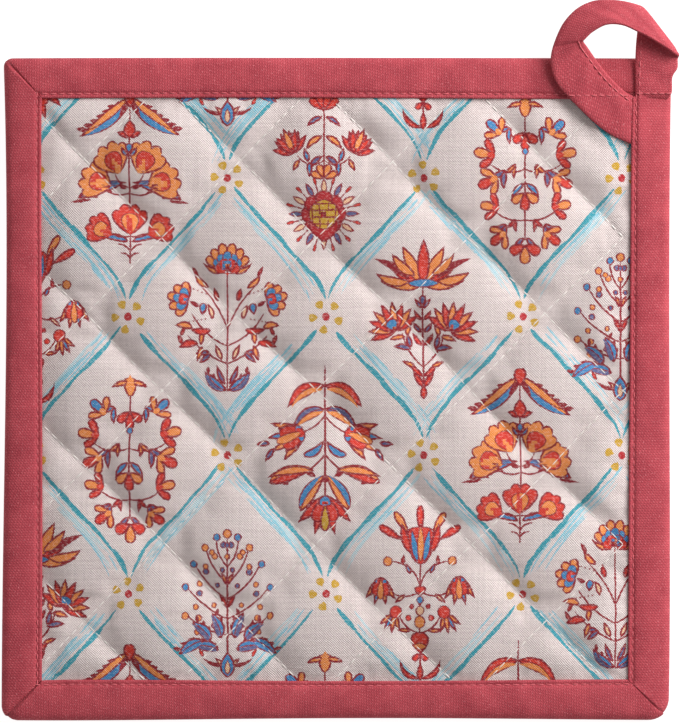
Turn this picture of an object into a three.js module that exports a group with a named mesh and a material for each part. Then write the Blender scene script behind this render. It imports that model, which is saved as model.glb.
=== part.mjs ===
// A square quilted pot holder, lying on its back with its printed face up.
// A padded square is stitched through in a diamond grid. A cotton tape is folded over its edge and
// mitred at the corners, and the tape's end makes a hanging loop at the top right corner.
// Millimetres: X runs to the right across the face, Y up across it, and Z out of it.
// Heights are measured from the pad's middle plane until the whole is set down on Z = 0.
import * as THREE from "three";

// Overall size over the tape, and the tape's width on each side.
const SIDE = { x: 203.0, y: 201.6 };
const TAPE_WIDTH = { left: 11.6, right: 12.6, top: 12.2, bottom: 12.0 };
const CORNER_RADIUS = { bottomLeft: 4.2, bottomRight: 6.5, topRight: 2.5, topLeft: 2.7 };
const GAP = 0.3;

// The quilting: stitch lines at 45 degrees both ways, this far apart along X or Y.
const STITCH_PITCH = 46.8;
const STITCH_CROSSING = { x: -6.45, y: -0.55 };
const STEPS_PER_PITCH = 8;
const PUFF_ROUNDNESS = 0.65;

// Half thicknesses of the pad, and how it thins towards the tape and under the loop's end.
const PAD = { rim: 1.0, frontCrown: 3.6, backCrown: 3.4, backFlat: 2.9, inset: 3.6, edgeFade: 9 };
const PRESSED = { x: 84, y: 86, flatRadius: 11, fadeRadius: 25 };

// How far each edge of the real, hand-sewn piece strays inwards, from its start to its end.
// The edges follow one another anticlockwise, seen from the front.
const EDGES = [
  { name: "bottom", start: -0.15, quarter: 0.0, middle: 0.45, late: 0.3, end: -0.1 },
  { name: "right", start: 0.45, quarter: 0.0, middle: 0.15, late: 0.15, end: -0.45 },
  { name: "top", start: 0.1, quarter: -0.1, middle: -0.15, late: -0.15, end: 0.0 },
  { name: "left", start: -0.15, quarter: 0.75, middle: 0.45, late: -0.3, end: -0.75 },
];
const EDGE_STATIONS = 8;
const PLAIN_FROM_CORNER = 17;

// The folded tape in section: its share of the width from the outer edge, and its half height.
const TAPE_SECTION = [
  { across: 0.0, height: 0.0 },
  { across: 0.02, height: 1.1 },
  { across: 0.08, height: 1.95 },
  { across: 0.2, height: 2.5 },
  { across: 0.38, height: 2.7 },
  { across: 0.6, height: 2.55 },
  { across: 0.78, height: 2.2 },
  { across: 0.87, height: 1.8 },
  { across: 0.94, height: 1.98 },
  { across: 1.0, height: 1.75 },
];
const SLOT = { halfHeight: PAD.rim + GAP, inset: PAD.inset - GAP };
const MITRE_SINK = 0.86;

// The loop: the outer and inner rail of the folded tape, a row for each section, from its root at
// the corner, up, over the rolled fold, round to the left and down to the end tucked in below.
const LOOP_THICKNESS = 1.6;
const LOOP_SECTIONS = 64;
const LOOP_RAILS = [
  { place: "root", outer: [90.7, 89.7, 3.9], inner: [102.0, 89.7, 3.9] },
  { place: "over the corner", outer: [90.7, 95.8, 3.9], inner: [102.6, 95.5, 3.9] },
  { place: "past the edge", outer: [90.8, 101.3, 3.8], inner: [103.4, 99.1, 3.8] },
  { place: "rising behind", outer: [91.1, 106.5, 3.6], inner: [103.7, 100.2, 3.9] },
  { place: "before the fold", outer: [91.8, 112.0, 3.9], inner: [103.9, 100.9, 4.4] },
  { place: "rolled fold", outer: [92.6, 115.8, 5.2], inner: [103.9, 101.4, 6.0] },
  { place: "after the fold", outer: [90.7, 117.0, 6.6], inner: [102.2, 102.1, 7.8] },
  { place: "right of the top", outer: [86.9, 117.9, 6.9], inner: [97.8, 105.0, 9.1] },
  { place: "top right", outer: [82.2, 118.3, 6.9], inner: [92.5, 107.9, 10.0] },
  { place: "top", outer: [77.3, 117.8, 6.7], inner: [87.0, 110.3, 10.3] },
  { place: "top left", outer: [72.7, 115.5, 6.4], inner: [82.1, 110.6, 10.0] },
  { place: "upper left", outer: [68.8, 111.3, 6.0], inner: [77.9, 108.6, 9.2] },
  { place: "left", outer: [66.2, 105.8, 5.6], inner: [75.2, 106.1, 8.1] },
  { place: "left of the crease", outer: [65.0, 101.0, 5.2], inner: [74.9, 105.6, 7.2] },
  { place: "below the crease", outer: [65.4, 96.4, 4.9], inner: [75.3, 105.0, 6.5] },
  { place: "lower left", outer: [67.2, 92.4, 4.7], inner: [76.1, 104.0, 5.9] },
  { place: "over the top tape", outer: [70.0, 89.1, 4.5], inner: [77.5, 102.0, 5.3] },
  { place: "end, first third", outer: [73.7, 85.4, 4.2], inner: [79.8, 98.8, 4.7] },
  { place: "end, second third", outer: [78.2, 81.1, 3.8], inner: [82.8, 95.2, 4.3] },
  { place: "end, nearly tucked", outer: [83.1, 77.5, 3.3], inner: [86.2, 91.8, 3.8] },
  { place: "end, at the side tape", outer: [88.5, 75.0, 2.6], inner: [88.5, 90.0, 3.4] },
];
// The folded tape's flat section: its share of the way between the rails, and of its thickness.
const LOOP_SECTION = [
  { between: 0.0, rise: 0.0 },
  { between: 0.04, rise: 0.4 },
  { between: 0.12, rise: 0.5 },
  { between: 0.5, rise: 0.44 },
  { between: 0.88, rise: 0.5 },
  { between: 0.96, rise: 0.4 },
  { between: 1.0, rise: 0.0 },
  { between: 0.96, rise: -0.4 },
  { between: 0.88, rise: -0.5 },
  { between: 0.5, rise: -0.44 },
  { between: 0.12, rise: -0.5 },
  { between: 0.04, rise: -0.4 },
];

const COLOURS = { pad: 0xddd2cb, tape: 0xb8404f };
const padCloth = new THREE.MeshStandardMaterial({ color: COLOURS.pad, roughness: 0.9, metalness: 0 });
const tapeCloth = new THREE.MeshStandardMaterial({ color: COLOURS.tape, roughness: 0.85, metalness: 0 });

const smooth = (low, high, value) => THREE.MathUtils.smoothstep(value, low, high);

// A closed surface from points and triangles.
function surface(points, triangles) {
  const geometry = new THREE.BufferGeometry();
  geometry.setAttribute("position", new THREE.Float32BufferAttribute(points.flat(), 3));
  geometry.setIndex(triangles.flat());
  geometry.computeVertexNormals();
  return geometry;
}

// The skin over a row of sections with as many points each, either a ring or closed by end caps.
function skin(sections, isRing) {
  const size = sections[0].length;
  const count = sections.length;
  const triangles = [];
  const last = isRing ? count : count - 1;
  for (let i = 0; i < last; i += 1) {
    const here = i * size;
    const next = ((i + 1) % count) * size;
    for (let j = 0; j < size; j += 1) {
      const k = (j + 1) % size;
      triangles.push([here + j, next + j, next + k], [here + j, next + k, here + k]);
    }
  }
  if (!isRing) {
    const end = (count - 1) * size;
    for (let j = 1; j < size - 1; j += 1) {
      triangles.push([0, j, j + 1], [end, end + j + 1, end + j]);
    }
  }
  return surface(sections.flat(), triangles);
}

// The inner edge of the tape, where the quilted cloth begins to show.
const INNER = {
  left: -SIDE.x / 2 + TAPE_WIDTH.left,
  right: SIDE.x / 2 - TAPE_WIDTH.right,
  bottom: -SIDE.y / 2 + TAPE_WIDTH.bottom,
  top: SIDE.y / 2 - TAPE_WIDTH.top,
};

// How full the pad is at a point: 0 on a stitch line, 1 in the middle of a diamond.
function fullness(x, y) {
  const fromX = x - STITCH_CROSSING.x;
  const fromY = y - STITCH_CROSSING.y;
  const falling = Math.abs(Math.sin((Math.PI * (fromX + fromY)) / STITCH_PITCH));
  const rising = Math.abs(Math.sin((Math.PI * (fromX - fromY)) / STITCH_PITCH));
  return (falling * rising) ** PUFF_ROUNDNESS;
}

// Distance inside the tape's inner edge, negative under the tape.
function insideTape(x, y) {
  return Math.min(x - INNER.left, INNER.right - x, y - INNER.bottom, INNER.top - y);
}

function frontHeight(x, y) {
  const fromLoop = Math.hypot(x - PRESSED.x, y - PRESSED.y);
  const free = smooth(PRESSED.flatRadius, PRESSED.fadeRadius, fromLoop);
  const fade = smooth(0, PAD.edgeFade, insideTape(x, y)) * free;
  return PAD.rim + (PAD.frontCrown - PAD.rim) * fade * fullness(x, y);
}

// The back is quilted as the front is, and flattened where it rests.
function backHeight(x, y) {
  const fade = smooth(0, PAD.edgeFade, insideTape(x, y));
  const height = PAD.rim + (PAD.backCrown - PAD.rim) * fade * fullness(x, y);
  return Math.min(height, PAD.backFlat);
}

// Grid lines from one edge of the pad to the other: both edges, both places where the tape ends,
// and between those the lines that meet the corners of the diamonds.
function gridLines(halfSide, tapeFrom, tapeTo, crossing) {
  const step = STITCH_PITCH / STEPS_PER_PITCH;
  const lines = [-halfSide, tapeFrom];
  for (let i = Math.ceil((tapeFrom - crossing) / step); crossing + i * step < tapeTo; i += 1) {
    const place = crossing + i * step;
    if (place > tapeFrom + step / 4 && place < tapeTo - step / 4) lines.push(place);
  }
  return [...lines, tapeTo, halfSide];
}

// The quilted pad: one filled solid, with the same grid on its front and back.
function quiltedPad() {
  const xs = gridLines(SIDE.x / 2 - PAD.inset, INNER.left, INNER.right, STITCH_CROSSING.x);
  const ys = gridLines(SIDE.y / 2 - PAD.inset, INNER.bottom, INNER.top, STITCH_CROSSING.y);
  const columns = xs.length;
  const perSide = columns * ys.length;
  const front = ys.flatMap((y) => xs.map((x) => [x, y, frontHeight(x, y)]));
  const back = ys.flatMap((y) => xs.map((x) => [x, y, -backHeight(x, y)]));
  const triangles = [];
  const at = (i, j) => j * columns + i;
  const onLine = (sum) => Math.abs(Math.sin((Math.PI * sum) / STITCH_PITCH)) < 1e-6;
  for (let j = 0; j < ys.length - 1; j += 1) {
    for (let i = 0; i < columns - 1; i += 1) {
      const [a, b, c, d] = [at(i, j), at(i + 1, j), at(i + 1, j + 1), at(i, j + 1)];
      // The cell is cut along a rising stitch line where one crosses it, and else along a falling one.
      const isRising = onLine(xs[i] - STITCH_CROSSING.x - (ys[j] - STITCH_CROSSING.y));
      const halves = isRising ? [[a, b, c], [a, c, d]] : [[a, b, d], [b, c, d]];
      for (const [p, q, r] of halves) {
        triangles.push([p, q, r], [p + perSide, r + perSide, q + perSide]);
      }
    }
  }
  const rim = [];
  for (let i = 0; i < columns - 1; i += 1) rim.push(at(i, 0));
  for (let j = 0; j < ys.length - 1; j += 1) rim.push(at(columns - 1, j));
  for (let i = columns - 1; i > 0; i -= 1) rim.push(at(i, ys.length - 1));
  for (let j = ys.length - 1; j > 0; j -= 1) rim.push(at(0, j));
  rim.forEach((p, n) => {
    const q = rim[(n + 1) % rim.length];
    triangles.push([p + perSide, q + perSide, q], [p + perSide, q, p]);
  });
  return surface([...front, ...back], triangles);
}

// How far an edge strays inwards at a share of its length, on a smooth curve through its row.
function stray(edge, share) {
  const values = [edge.start, edge.quarter, edge.middle, edge.late, edge.end];
  const curve = new THREE.SplineCurve(values.map((v, i) => new THREE.Vector2(i, v)));
  return curve.getPoint(share).y;
}

// The four sides in the order of EDGES: the corner each starts from, the way it runs, the way in
// to the middle of the pad, and the radius of the corner at its start.
const SIDES = [
  { from: [-1, -1], along: [1, 0], inward: [0, 1], length: SIDE.x, radius: CORNER_RADIUS.bottomLeft },
  { from: [1, -1], along: [0, 1], inward: [-1, 0], length: SIDE.y, radius: CORNER_RADIUS.bottomRight },
  { from: [1, 1], along: [-1, 0], inward: [0, -1], length: SIDE.x, radius: CORNER_RADIUS.topRight },
  { from: [-1, 1], along: [0, -1], inward: [1, 0], length: SIDE.y, radius: CORNER_RADIUS.topLeft },
];
const WIDTH_OF = EDGES.map((edge) => TAPE_WIDTH[edge.name]);

// The point that lies this far along a side and this far in from it.
function onSide(side, along, inward) {
  return [0, 1].map((axis) => {
    const half = axis === 0 ? SIDE.x / 2 : SIDE.y / 2;
    return side.from[axis] * half + side.along[axis] * along + side.inward[axis] * inward;
  });
}

// A place on the ring of tape: points on its outer edge, at its slot's bottom and on its inner edge.
function plainStation(index, along) {
  const side = SIDES[index];
  return {
    outer: onSide(side, along, stray(EDGES[index], along / side.length)),
    slot: onSide(side, along, SLOT.inset),
    inner: onSide(side, along, WIDTH_OF[index]),
    sink: 1,
  };
}

// The stations that turn the corner at the start of a side. The middle one is the mitre.
function cornerStations(index) {
  const side = SIDES[index];
  const before = WIDTH_OF[(index + 3) % 4];
  const strayIn = EDGES[index].start;
  const strayBack = EDGES[(index + 3) % 4].end;
  // Positive turns lie on this side, and negative ones on the side before it.
  return [-1, -0.5, 0, 0.5, 1].map((turn) => {
    const angle = ((turn + 1) * Math.PI) / 4;
    const reach = side.radius * (1 - Math.sin(angle));
    const depth = side.radius * (1 - Math.cos(angle));
    const spread = Math.abs(turn) * 1.6;
    const along = turn > 0 ? spread : 0;
    const back = turn < 0 ? spread : 0;
    return {
      outer: onSide(side, depth + strayBack, reach + strayIn),
      slot: onSide(side, SLOT.inset + along, SLOT.inset + back),
      inner: onSide(side, before + along, WIDTH_OF[index] + back),
      sink: turn === 0 ? MITRE_SINK : 1,
    };
  });
}

// The section of the tape at a station: over the front, in along its slot, and round the back.
function tapeSection({ outer, slot, inner, sink }) {
  const place = (share, height) => [
    outer[0] + (inner[0] - outer[0]) * share,
    outer[1] + (inner[1] - outer[1]) * share,
    height,
  ];
  const lip = TAPE_SECTION.length - 1;
  const sunk = (row, i) => (i === 0 || i === lip ? row.height : row.height * sink);
  const front = TAPE_SECTION.map((row, i) => place(row.across, sunk(row, i)));
  const back = TAPE_SECTION.slice(1).map((row, i) => place(row.across, -sunk(row, i + 1)));
  return [
    ...front,
    [inner[0], inner[1], SLOT.halfHeight],
    [slot[0], slot[1], SLOT.halfHeight],
    [slot[0], slot[1], -SLOT.halfHeight],
    [inner[0], inner[1], -SLOT.halfHeight],
    ...back.reverse(),
  ];
}

// The tape folded over the pad's edge, all the way round.
function edgeBinding() {
  const stations = SIDES.flatMap((side, index) => {
    const plain = [];
    const run = side.length - 2 * PLAIN_FROM_CORNER;
    for (let i = 0; i <= EDGE_STATIONS; i += 1) {
      plain.push(plainStation(index, PLAIN_FROM_CORNER + (run * i) / EDGE_STATIONS));
    }
    return [...cornerStations(index), ...plain];
  });
  return skin(stations.map(tapeSection), true);
}

// The hanging loop: the tape closed flat, carried along its two rails.
function hangingLoop() {
  const rail = (key) => new THREE.CatmullRomCurve3(LOOP_RAILS.map((row) => new THREE.Vector3(...row[key])));
  const outer = rail("outer");
  const inner = rail("inner");
  const sections = [];
  for (let i = 0; i <= LOOP_SECTIONS; i += 1) {
    const share = i / LOOP_SECTIONS;
    const from = outer.getPoint(share);
    const to = inner.getPoint(share);
    const across = to.clone().sub(from);
    const onward = outer.getTangent(share).add(inner.getTangent(share));
    const up = onward.cross(across).normalize();
    sections.push(
      LOOP_SECTION.map((row) => {
        const point = from.clone().addScaledVector(across, row.between);
        return point.addScaledVector(up, row.rise * LOOP_THICKNESS).toArray();
      }),
    );
  }
  return skin(sections, false);
}

const potHolder = new THREE.Group();

function addPiece(name, geometry, material) {
  const piece = new THREE.Mesh(geometry, material);
  piece.name = name;
  potHolder.add(piece);
}

addPiece("quilted_pad", quiltedPad(), padCloth);
addPiece("edge_binding", edgeBinding(), tapeCloth);
addPiece("hanging_loop", hangingLoop(), tapeCloth);

// The origin is under the middle of the whole object's box, on the surface that it lies on.
const box = new THREE.Box3().setFromObject(potHolder);
const middle = box.getCenter(new THREE.Vector3());
potHolder.position.set(-middle.x, -middle.y, -box.min.z);

export default potHolder;
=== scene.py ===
# %% [markdown]
# # A quilted pot holder
#
# This lesson dresses a pot holder: a padded square of printed canvas, quilted in diamonds, with a
# cotton tape folded over its edge and a loop of the same tape to hang it by. The solids that carry
# the weight and the collision are loaded first. Every piece below is worked out in millimetres
# from the middle of the pad, and then laid over its solid.

import bpy
import numpy as np
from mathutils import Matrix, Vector


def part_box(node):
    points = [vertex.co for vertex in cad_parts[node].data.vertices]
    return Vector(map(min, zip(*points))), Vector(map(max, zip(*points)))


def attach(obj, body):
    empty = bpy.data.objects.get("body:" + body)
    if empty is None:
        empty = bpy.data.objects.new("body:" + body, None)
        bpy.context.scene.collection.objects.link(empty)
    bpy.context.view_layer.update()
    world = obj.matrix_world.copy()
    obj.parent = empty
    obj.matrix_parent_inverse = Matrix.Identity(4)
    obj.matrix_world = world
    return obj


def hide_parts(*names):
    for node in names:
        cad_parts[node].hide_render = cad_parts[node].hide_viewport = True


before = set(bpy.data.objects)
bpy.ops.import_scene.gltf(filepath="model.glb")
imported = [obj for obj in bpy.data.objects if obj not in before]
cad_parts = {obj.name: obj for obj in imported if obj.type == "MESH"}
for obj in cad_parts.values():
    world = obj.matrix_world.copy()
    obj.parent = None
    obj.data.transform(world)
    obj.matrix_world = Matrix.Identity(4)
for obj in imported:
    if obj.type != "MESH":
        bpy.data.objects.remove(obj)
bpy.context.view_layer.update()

MM = 0.001
BODY = "root"
BACK_FLAT = 2.9
pad_low, pad_high = (np.array(corner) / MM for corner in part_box("quilted_pad"))
MIDDLE = np.append((pad_low[:2] + pad_high[:2]) / 2, pad_low[2] + BACK_FLAT)
PAD_HALF = (pad_high[:2] - pad_low[:2]) / 2
rng = np.random.default_rng(7)
print("pad middle", MIDDLE.round(2), "half size", PAD_HALF.round(2))

# %% [markdown]
# ## From formulas to meshes
#
# A cloth surface is a grid: a formula gives each of its points from a row and a column, and the
# faces are the same for every grid. Working on whole arrays keeps the formulas short and fast.
# The rows or the columns of a tube come back to where they began, so either can be closed.

# %% Grids and meshes
def grid_faces(rows, columns, closed_rows=False, closed_columns=False):
    """Each face joins a grid point to its neighbours in the next column and the next row."""
    index = np.arange(rows * columns).reshape(rows, columns)
    if closed_rows:
        index = np.vstack([index, index[:1]])
    if closed_columns:
        index = np.hstack([index, index[:, :1]])
    corners = [index[:-1, :-1], index[:-1, 1:], index[1:, 1:], index[1:, :-1]]
    return np.stack(corners, axis=-1).reshape(-1, 4)


def make_piece(name, points, faces, finishes, finish_of_face=None, flat=None):
    """A mesh from points in millimetres. flat holds each point's position on the flat cloth."""
    mesh = bpy.data.meshes.new(name)
    rows = faces if isinstance(faces, list) else faces.tolist()
    mesh.from_pydata(((points + MIDDLE) * MM).tolist(), [], rows)
    mesh.polygons.foreach_set("use_smooth", np.ones(len(mesh.polygons), bool))
    for finish in finishes:
        mesh.materials.append(finish)
    if finish_of_face is not None:
        mesh.polygons.foreach_set("material_index", np.asarray(finish_of_face, np.int32))
    if flat is not None:
        corner = np.empty(len(mesh.loops), np.int32)
        mesh.loops.foreach_get("vertex_index", corner)
        places = np.ascontiguousarray(flat[corner], np.float32)
        mesh.uv_layers.new(name="flat_cloth").data.foreach_set("uv", places.ravel())
    mesh.update()
    piece = bpy.data.objects.new(name, mesh)
    bpy.context.scene.collection.objects.link(piece)
    triangles = len(mesh.loops) - 2 * len(mesh.polygons)
    print(name, len(mesh.vertices), "points", triangles, "triangles")
    return piece


def through(values, share):
    """The smooth curve of lowest degree that passes through evenly spaced values."""
    places = np.linspace(0, 1, len(values))
    return np.polyval(np.polyfit(places, values, len(values) - 1), share)


def smooth_step(low, high, value):
    """Rises from 0 at low to 1 at high, level at both ends."""
    share = np.clip((value - low) / (high - low), 0, 1)
    return share * share * (3 - 2 * share)

# %% [markdown]
# ## Sums on sockets
#
# A cloth finish is mostly arithmetic: how far a point is from a thread, a petal's edge or a brush
# stroke. Written as nodes one by one, that would be hundreds of lines. This small class wraps a
# socket, so that an ordinary Python expression adds the Math nodes that work it out.

# %% A socket that does arithmetic
class Value:
    """A number on its way through a finish. Arithmetic on it adds Math nodes."""

    def __init__(self, finish, socket):
        self.finish = finish
        self.socket = socket

    def __add__(self, other):
        return self.finish.maths("ADD", self, other)

    def __sub__(self, other):
        return self.finish.maths("SUBTRACT", self, other)

    def __rsub__(self, other):
        return self.finish.maths("SUBTRACT", other, self)

    def __mul__(self, other):
        return self.finish.maths("MULTIPLY", self, other)

    def __truediv__(self, other):
        return self.finish.maths("DIVIDE", self, other)

    def __rtruediv__(self, other):
        return self.finish.maths("DIVIDE", other, self)

    def __pow__(self, other):
        return self.finish.maths("POWER", self, other)

    def __abs__(self):
        return self.finish.maths("ABSOLUTE", self)

    __radd__ = __add__
    __rmul__ = __mul__


class Finish:
    """A material in the making, with one method for the nodes of every kind."""

    def __init__(self, name, roughness, specular=0.3):
        self.material = bpy.data.materials.new(name)
        self.material.use_nodes = True
        self.tree = self.material.node_tree
        self.surface = self.tree.nodes["Principled BSDF"]
        self.surface.inputs["Roughness"].default_value = roughness
        self.surface.inputs["Specular IOR Level"].default_value = specular

    def put(self, socket, value):
        """Links a value to a socket, or sets the socket to a number, a colour or a vector."""
        if isinstance(value, Value):
            self.tree.links.new(value.socket, socket)
        else:
            socket.default_value = value

    def node(self, kind, settings=None, inputs=None, output=0):
        """Adds a node of this kind: its settings first, its inputs after. Gives one output."""
        node = self.tree.nodes.new(kind)
        for name, value in (settings or {}).items():
            if name == "stops":
                ramp = node.color_ramp
                ramp.interpolation = "CONSTANT"
                while len(ramp.elements) < len(value):
                    ramp.elements.new(1.0)
                for element, (position, colour) in zip(ramp.elements, value):
                    element.position = position
                    element.color = colour
            else:
                setattr(node, name, value)
        for name, value in (inputs or {}).items():
            self.put(node.inputs[name], value)
        return Value(self, node.outputs[output])

    def maths(self, operation, *values):
        """One Math node, with its values in order."""
        return self.node("ShaderNodeMath", {"operation": operation}, dict(enumerate(values)))

    def sine(self, value):
        return self.maths("SINE", value)

    def at_least(self, value, low):
        return self.maths("MAXIMUM", value, low)

    def between(self, value, low, high):
        """value, held between low and high."""
        return self.maths("MINIMUM", self.at_least(value, low), high)

    def fade(self, value, start, end):
        """0 where value is at start or before, 1 at end or after, and even between."""
        settings = {"clamp": True}
        inputs = {"Value": value, "From Min": start, "From Max": end}
        return self.node("ShaderNodeMapRange", settings, inputs)

    def mix(self, share, first, second, blend="MIX"):
        """The colour that goes from first to second as share goes from 0 to 1."""
        node = self.tree.nodes.new("ShaderNodeMix")
        node.data_type = "RGBA"
        node.blend_type = blend
        self.put(node.inputs["Factor"], share)
        self.put(node.inputs[6], first)
        self.put(node.inputs[7], second)
        return Value(self, node.outputs[2])

    def attribute(self, name):
        """Three numbers that the mesh carries at each corner."""
        return self.node("ShaderNodeAttribute", {"attribute_name": name}, output="Vector")

    def split(self, vector):
        """The three numbers of a vector."""
        node = self.tree.nodes.new("ShaderNodeSeparateXYZ")
        self.tree.links.new(vector.socket, node.inputs[0])
        return [Value(self, socket) for socket in node.outputs]

    def flat_cloth(self):
        """The position on the flat cloth, in millimetres, as a vector and as two numbers."""
        vector = self.node("ShaderNodeUVMap", {"uv_map": "flat_cloth"})
        across, up, _ = self.split(vector)
        return vector, across, up

    def noise(self, vector, scale, detail=2.0, rough=0.5):
        """Smooth random values around 0.5, with scale bumps to a unit of the vector."""
        inputs = {"Vector": vector, "Scale": scale, "Detail": detail, "Roughness": rough}
        return self.node("ShaderNodeTexNoise", None, inputs)

    def stretched(self, vector, scale):
        """The vector, with each of its numbers multiplied by one of scale."""
        return self.node("ShaderNodeVectorMath", {"operation": "MULTIPLY"}, {0: vector, 1: scale})

    def finished(self, colour, height, depth, strength=1.0):
        """Connects a colour, and a height whose full range stands for depth in millimetres."""
        inputs = {"Height": height, "Distance": depth * MM, "Strength": strength}
        bump = self.node("ShaderNodeBump", None, inputs)
        self.put(self.surface.inputs["Base Color"], colour)
        self.put(self.surface.inputs["Normal"], bump)
        return self.material


def linear(red, green, blue):
    """A colour seen as 0 to 255 on a screen, as the linear numbers that a shader works with."""
    share = np.array([red, green, blue]) / 255
    return (*np.where(share <= 0.04045, share / 12.92, ((share + 0.055) / 1.055) ** 2.4), 1.0)

# %% [markdown]
# ## The print's brush strokes
#
# The canvas is printed with sprigs of flowers in a trellis. Every mark of it, petal, leaf, stem,
# dot or brush stroke, is one kind of shape: a bent spine with a width that swells along it. So a
# short row of numbers describes each mark: where it starts, its angle, length and width, how its
# two ends taper, how much it bends, its ink, and the width of the dark line round it.

# %% The inks and the kinds of mark
INKS = {
    "line": linear(152, 42, 52),
    "red": linear(222, 66, 54),
    "orange": linear(242, 150, 82),
    "peach": linear(240, 196, 158),
    "blue": linear(72, 142, 196),
    "plum": linear(100, 104, 148),
    "teal": linear(66, 164, 180),
    "sky": linear(150, 206, 222),
    "mist": linear(196, 220, 226),
    "gold": linear(212, 168, 62),
    "crimson": linear(190, 50, 56),
}
RIM = 0.6
TAPERS = {
    "petal": (0.85, 0.42),
    "leaf": (0.7, 0.95),
    "round": (0.5, 0.5),
    "stem": (0.12, 0.2),
    "brush": (0.5, 0.7),
    "cup": (0.5, 0.2),
}
OUTLINED = ("petal", "leaf", "cup")


def mark(x, y, angle, length, width, kind, ink, bend=0.0, rim=None):
    """One row: start, angle in radians, length, half width, both tapers, bend, ink and rim."""
    base, tip = TAPERS[kind]
    edge = (RIM if kind in OUTLINED else 0.0) if rim is None else rim
    return [x, y, np.radians(angle), length, width / 2, base, tip, bend, list(INKS).index(ink), edge]


class Sprig:
    """A sprig in millimetres from its middle. What is drawn on the right is drawn on the left too."""

    def __init__(self):
        self.marks = []

    def draw(self, x, y, angle, *rest, bend=0.0, rim=None):
        """Adds a mark and its mirror image, unless it stands upright in the middle."""
        self.marks.append(mark(x, y, angle, *rest, bend=bend, rim=rim))
        if x != 0 or angle % 180 != 90:
            self.marks.append(mark(-x, y, 180 - angle, *rest, bend=-bend, rim=rim))

    def leaf(self, x, y, angle, length, width, ink, bend=0.0, rim=None):
        self.draw(x, y, angle, length, width, "leaf", ink, bend=bend, rim=rim)

    def stem(self, x, y, angle, length, bend=0.0, width=0.6):
        self.draw(x, y, angle, length, width, "stem", "line", bend=bend)

    def dot(self, x, y, size, ink, rim=0.0):
        self.draw(x, y - size / 2, 90, size, size, "round", ink, rim=rim)

    def split_leaf(self, x, y, angle, length, width, upper, lower, bend=0.0):
        """A leaf in two inks, with a rib between them and a dark line round both."""
        turn = np.radians(angle + 90)
        aside = width * 0.18
        self.leaf(x, y, angle, length, width, upper, bend=bend)
        foot = (x - aside * np.cos(turn) + 0.08 * length * np.cos(turn - np.pi / 2),
                y - aside * np.sin(turn) + 0.08 * length * np.sin(turn - np.pi / 2))
        self.leaf(*foot, angle, length * 0.84, width * 0.42, lower, bend=bend, rim=0.0)
        self.stem(x, y, angle, length * 0.86, bend=bend, width=0.4)

    def saw_leaf(self, x, y, angle, length, width, upper, lower, bend=0.0, teeth=5):
        """A split leaf with small teeth along its upper edge, which point towards its tip."""
        side = np.array([-np.sin(np.radians(angle)), np.cos(np.radians(angle))])
        ahead = np.array([side[1], -side[0]])
        for share in np.linspace(0.24, 0.84, teeth):
            rise = 4 * bend * share * (1 - share) + width * 0.16
            foot = np.array([x, y]) + ahead * share * length + side * rise
            self.leaf(*foot, angle + 44, width * 0.66, width * 0.34, "line", rim=0.0)
        self.split_leaf(x, y, angle, length, width, upper, lower, bend=bend)

    def fan(self, x, y, angle, spread, count, length, width, inks, kind="petal", start=0.0, rim=None):
        """Petals side by side from one point, the outer ones first, so that the middle lies on top."""
        offsets = np.linspace(-spread, spread, count)
        if x == 0 and angle % 180 == 90:
            offsets = offsets[offsets > -1e-6]
        for turn in sorted(offsets, key=lambda each: -abs(each)):
            direction = np.radians(angle + turn)
            reach = length * (1 - 0.12 * abs(turn) / max(spread, 1))
            ink = inks[int(round(abs(turn) / max(2 * spread / (count - 1), 1))) % len(inks)]
            foot = (x + start * np.cos(direction), y + start * np.sin(direction))
            self.draw(*foot, angle + turn if turn else angle, reach, width, kind, ink, rim=rim)

    def clover(self, x, y, angle, size, outer, inner):
        """A clover head: two long lobes like an arrow's, and a round one that shows between them."""
        self.draw(x, y, angle, size * 1.04, size * 0.56, "petal", inner)
        self.fan(x, y, angle, 50, 2, size * 1.04, size * 0.44, [outer])
        self.leaf(x, y, angle, size * 0.42, size * 0.3, outer, rim=0.0)

    def trumpet(self, x, y, angle, size, lip="orange", throat="red"):
        """A trumpet flower from its side: a frilled lip, a throat, and a pale calyx at its foot."""
        self.fan(x, y, angle, 33, 4, size, size * 0.4, [lip])
        self.fan(x, y, angle, 14, 2, size * 0.99, size * 0.4, [lip], rim=0.0)
        self.fan(x, y, angle, 20, 2, size * 0.9, size * 0.4, [lip], rim=0.0)
        self.draw(x, y, angle, size * 0.66, size * 0.56, "petal", throat, rim=0.36)
        self.leaf(x, y, angle, size * 0.38, size * 0.2, "peach", rim=0.36)

    def bell(self, x, y, angle, size):
        """A bellflower: a red cup with narrow tips, an orange heart and a blue cap."""
        self.fan(x, y, angle, 34, 4, size, size * 0.24, ["orange", "blue"], kind="leaf")
        self.fan(x, y, angle, 26, 2, size * 0.78, size * 0.3, ["red"], kind="leaf")
        self.draw(x, y, angle, size * 0.62, size * 0.62, "cup", "red")
        self.draw(x, y, angle, size * 0.74, size * 0.24, "petal", "orange", rim=0.36)
        self.draw(x, y, angle, size * 0.2, size * 0.44, "cup", "blue", rim=0.4)

    def aster(self, x, y, angle, size):
        """An aster from its side: a fan of pointed petals over a small blue heart."""
        self.fan(x, y, angle, 84, 9, size, size * 0.3, ["red", "orange"], kind="leaf")
        self.draw(x, y, angle, size * 0.4, size * 0.42, "petal", "blue", rim=0.4)

    def leaf_pair(self, x, y, angle, size, ink, opening=56):
        """Two narrow leaves that open from one point."""
        self.leaf(x, y, angle - opening / 2, size, size * 0.36, ink, bend=size * 0.06)
        self.leaf(x, y, angle + opening / 2, size, size * 0.36, ink, bend=-size * 0.06)

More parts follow.
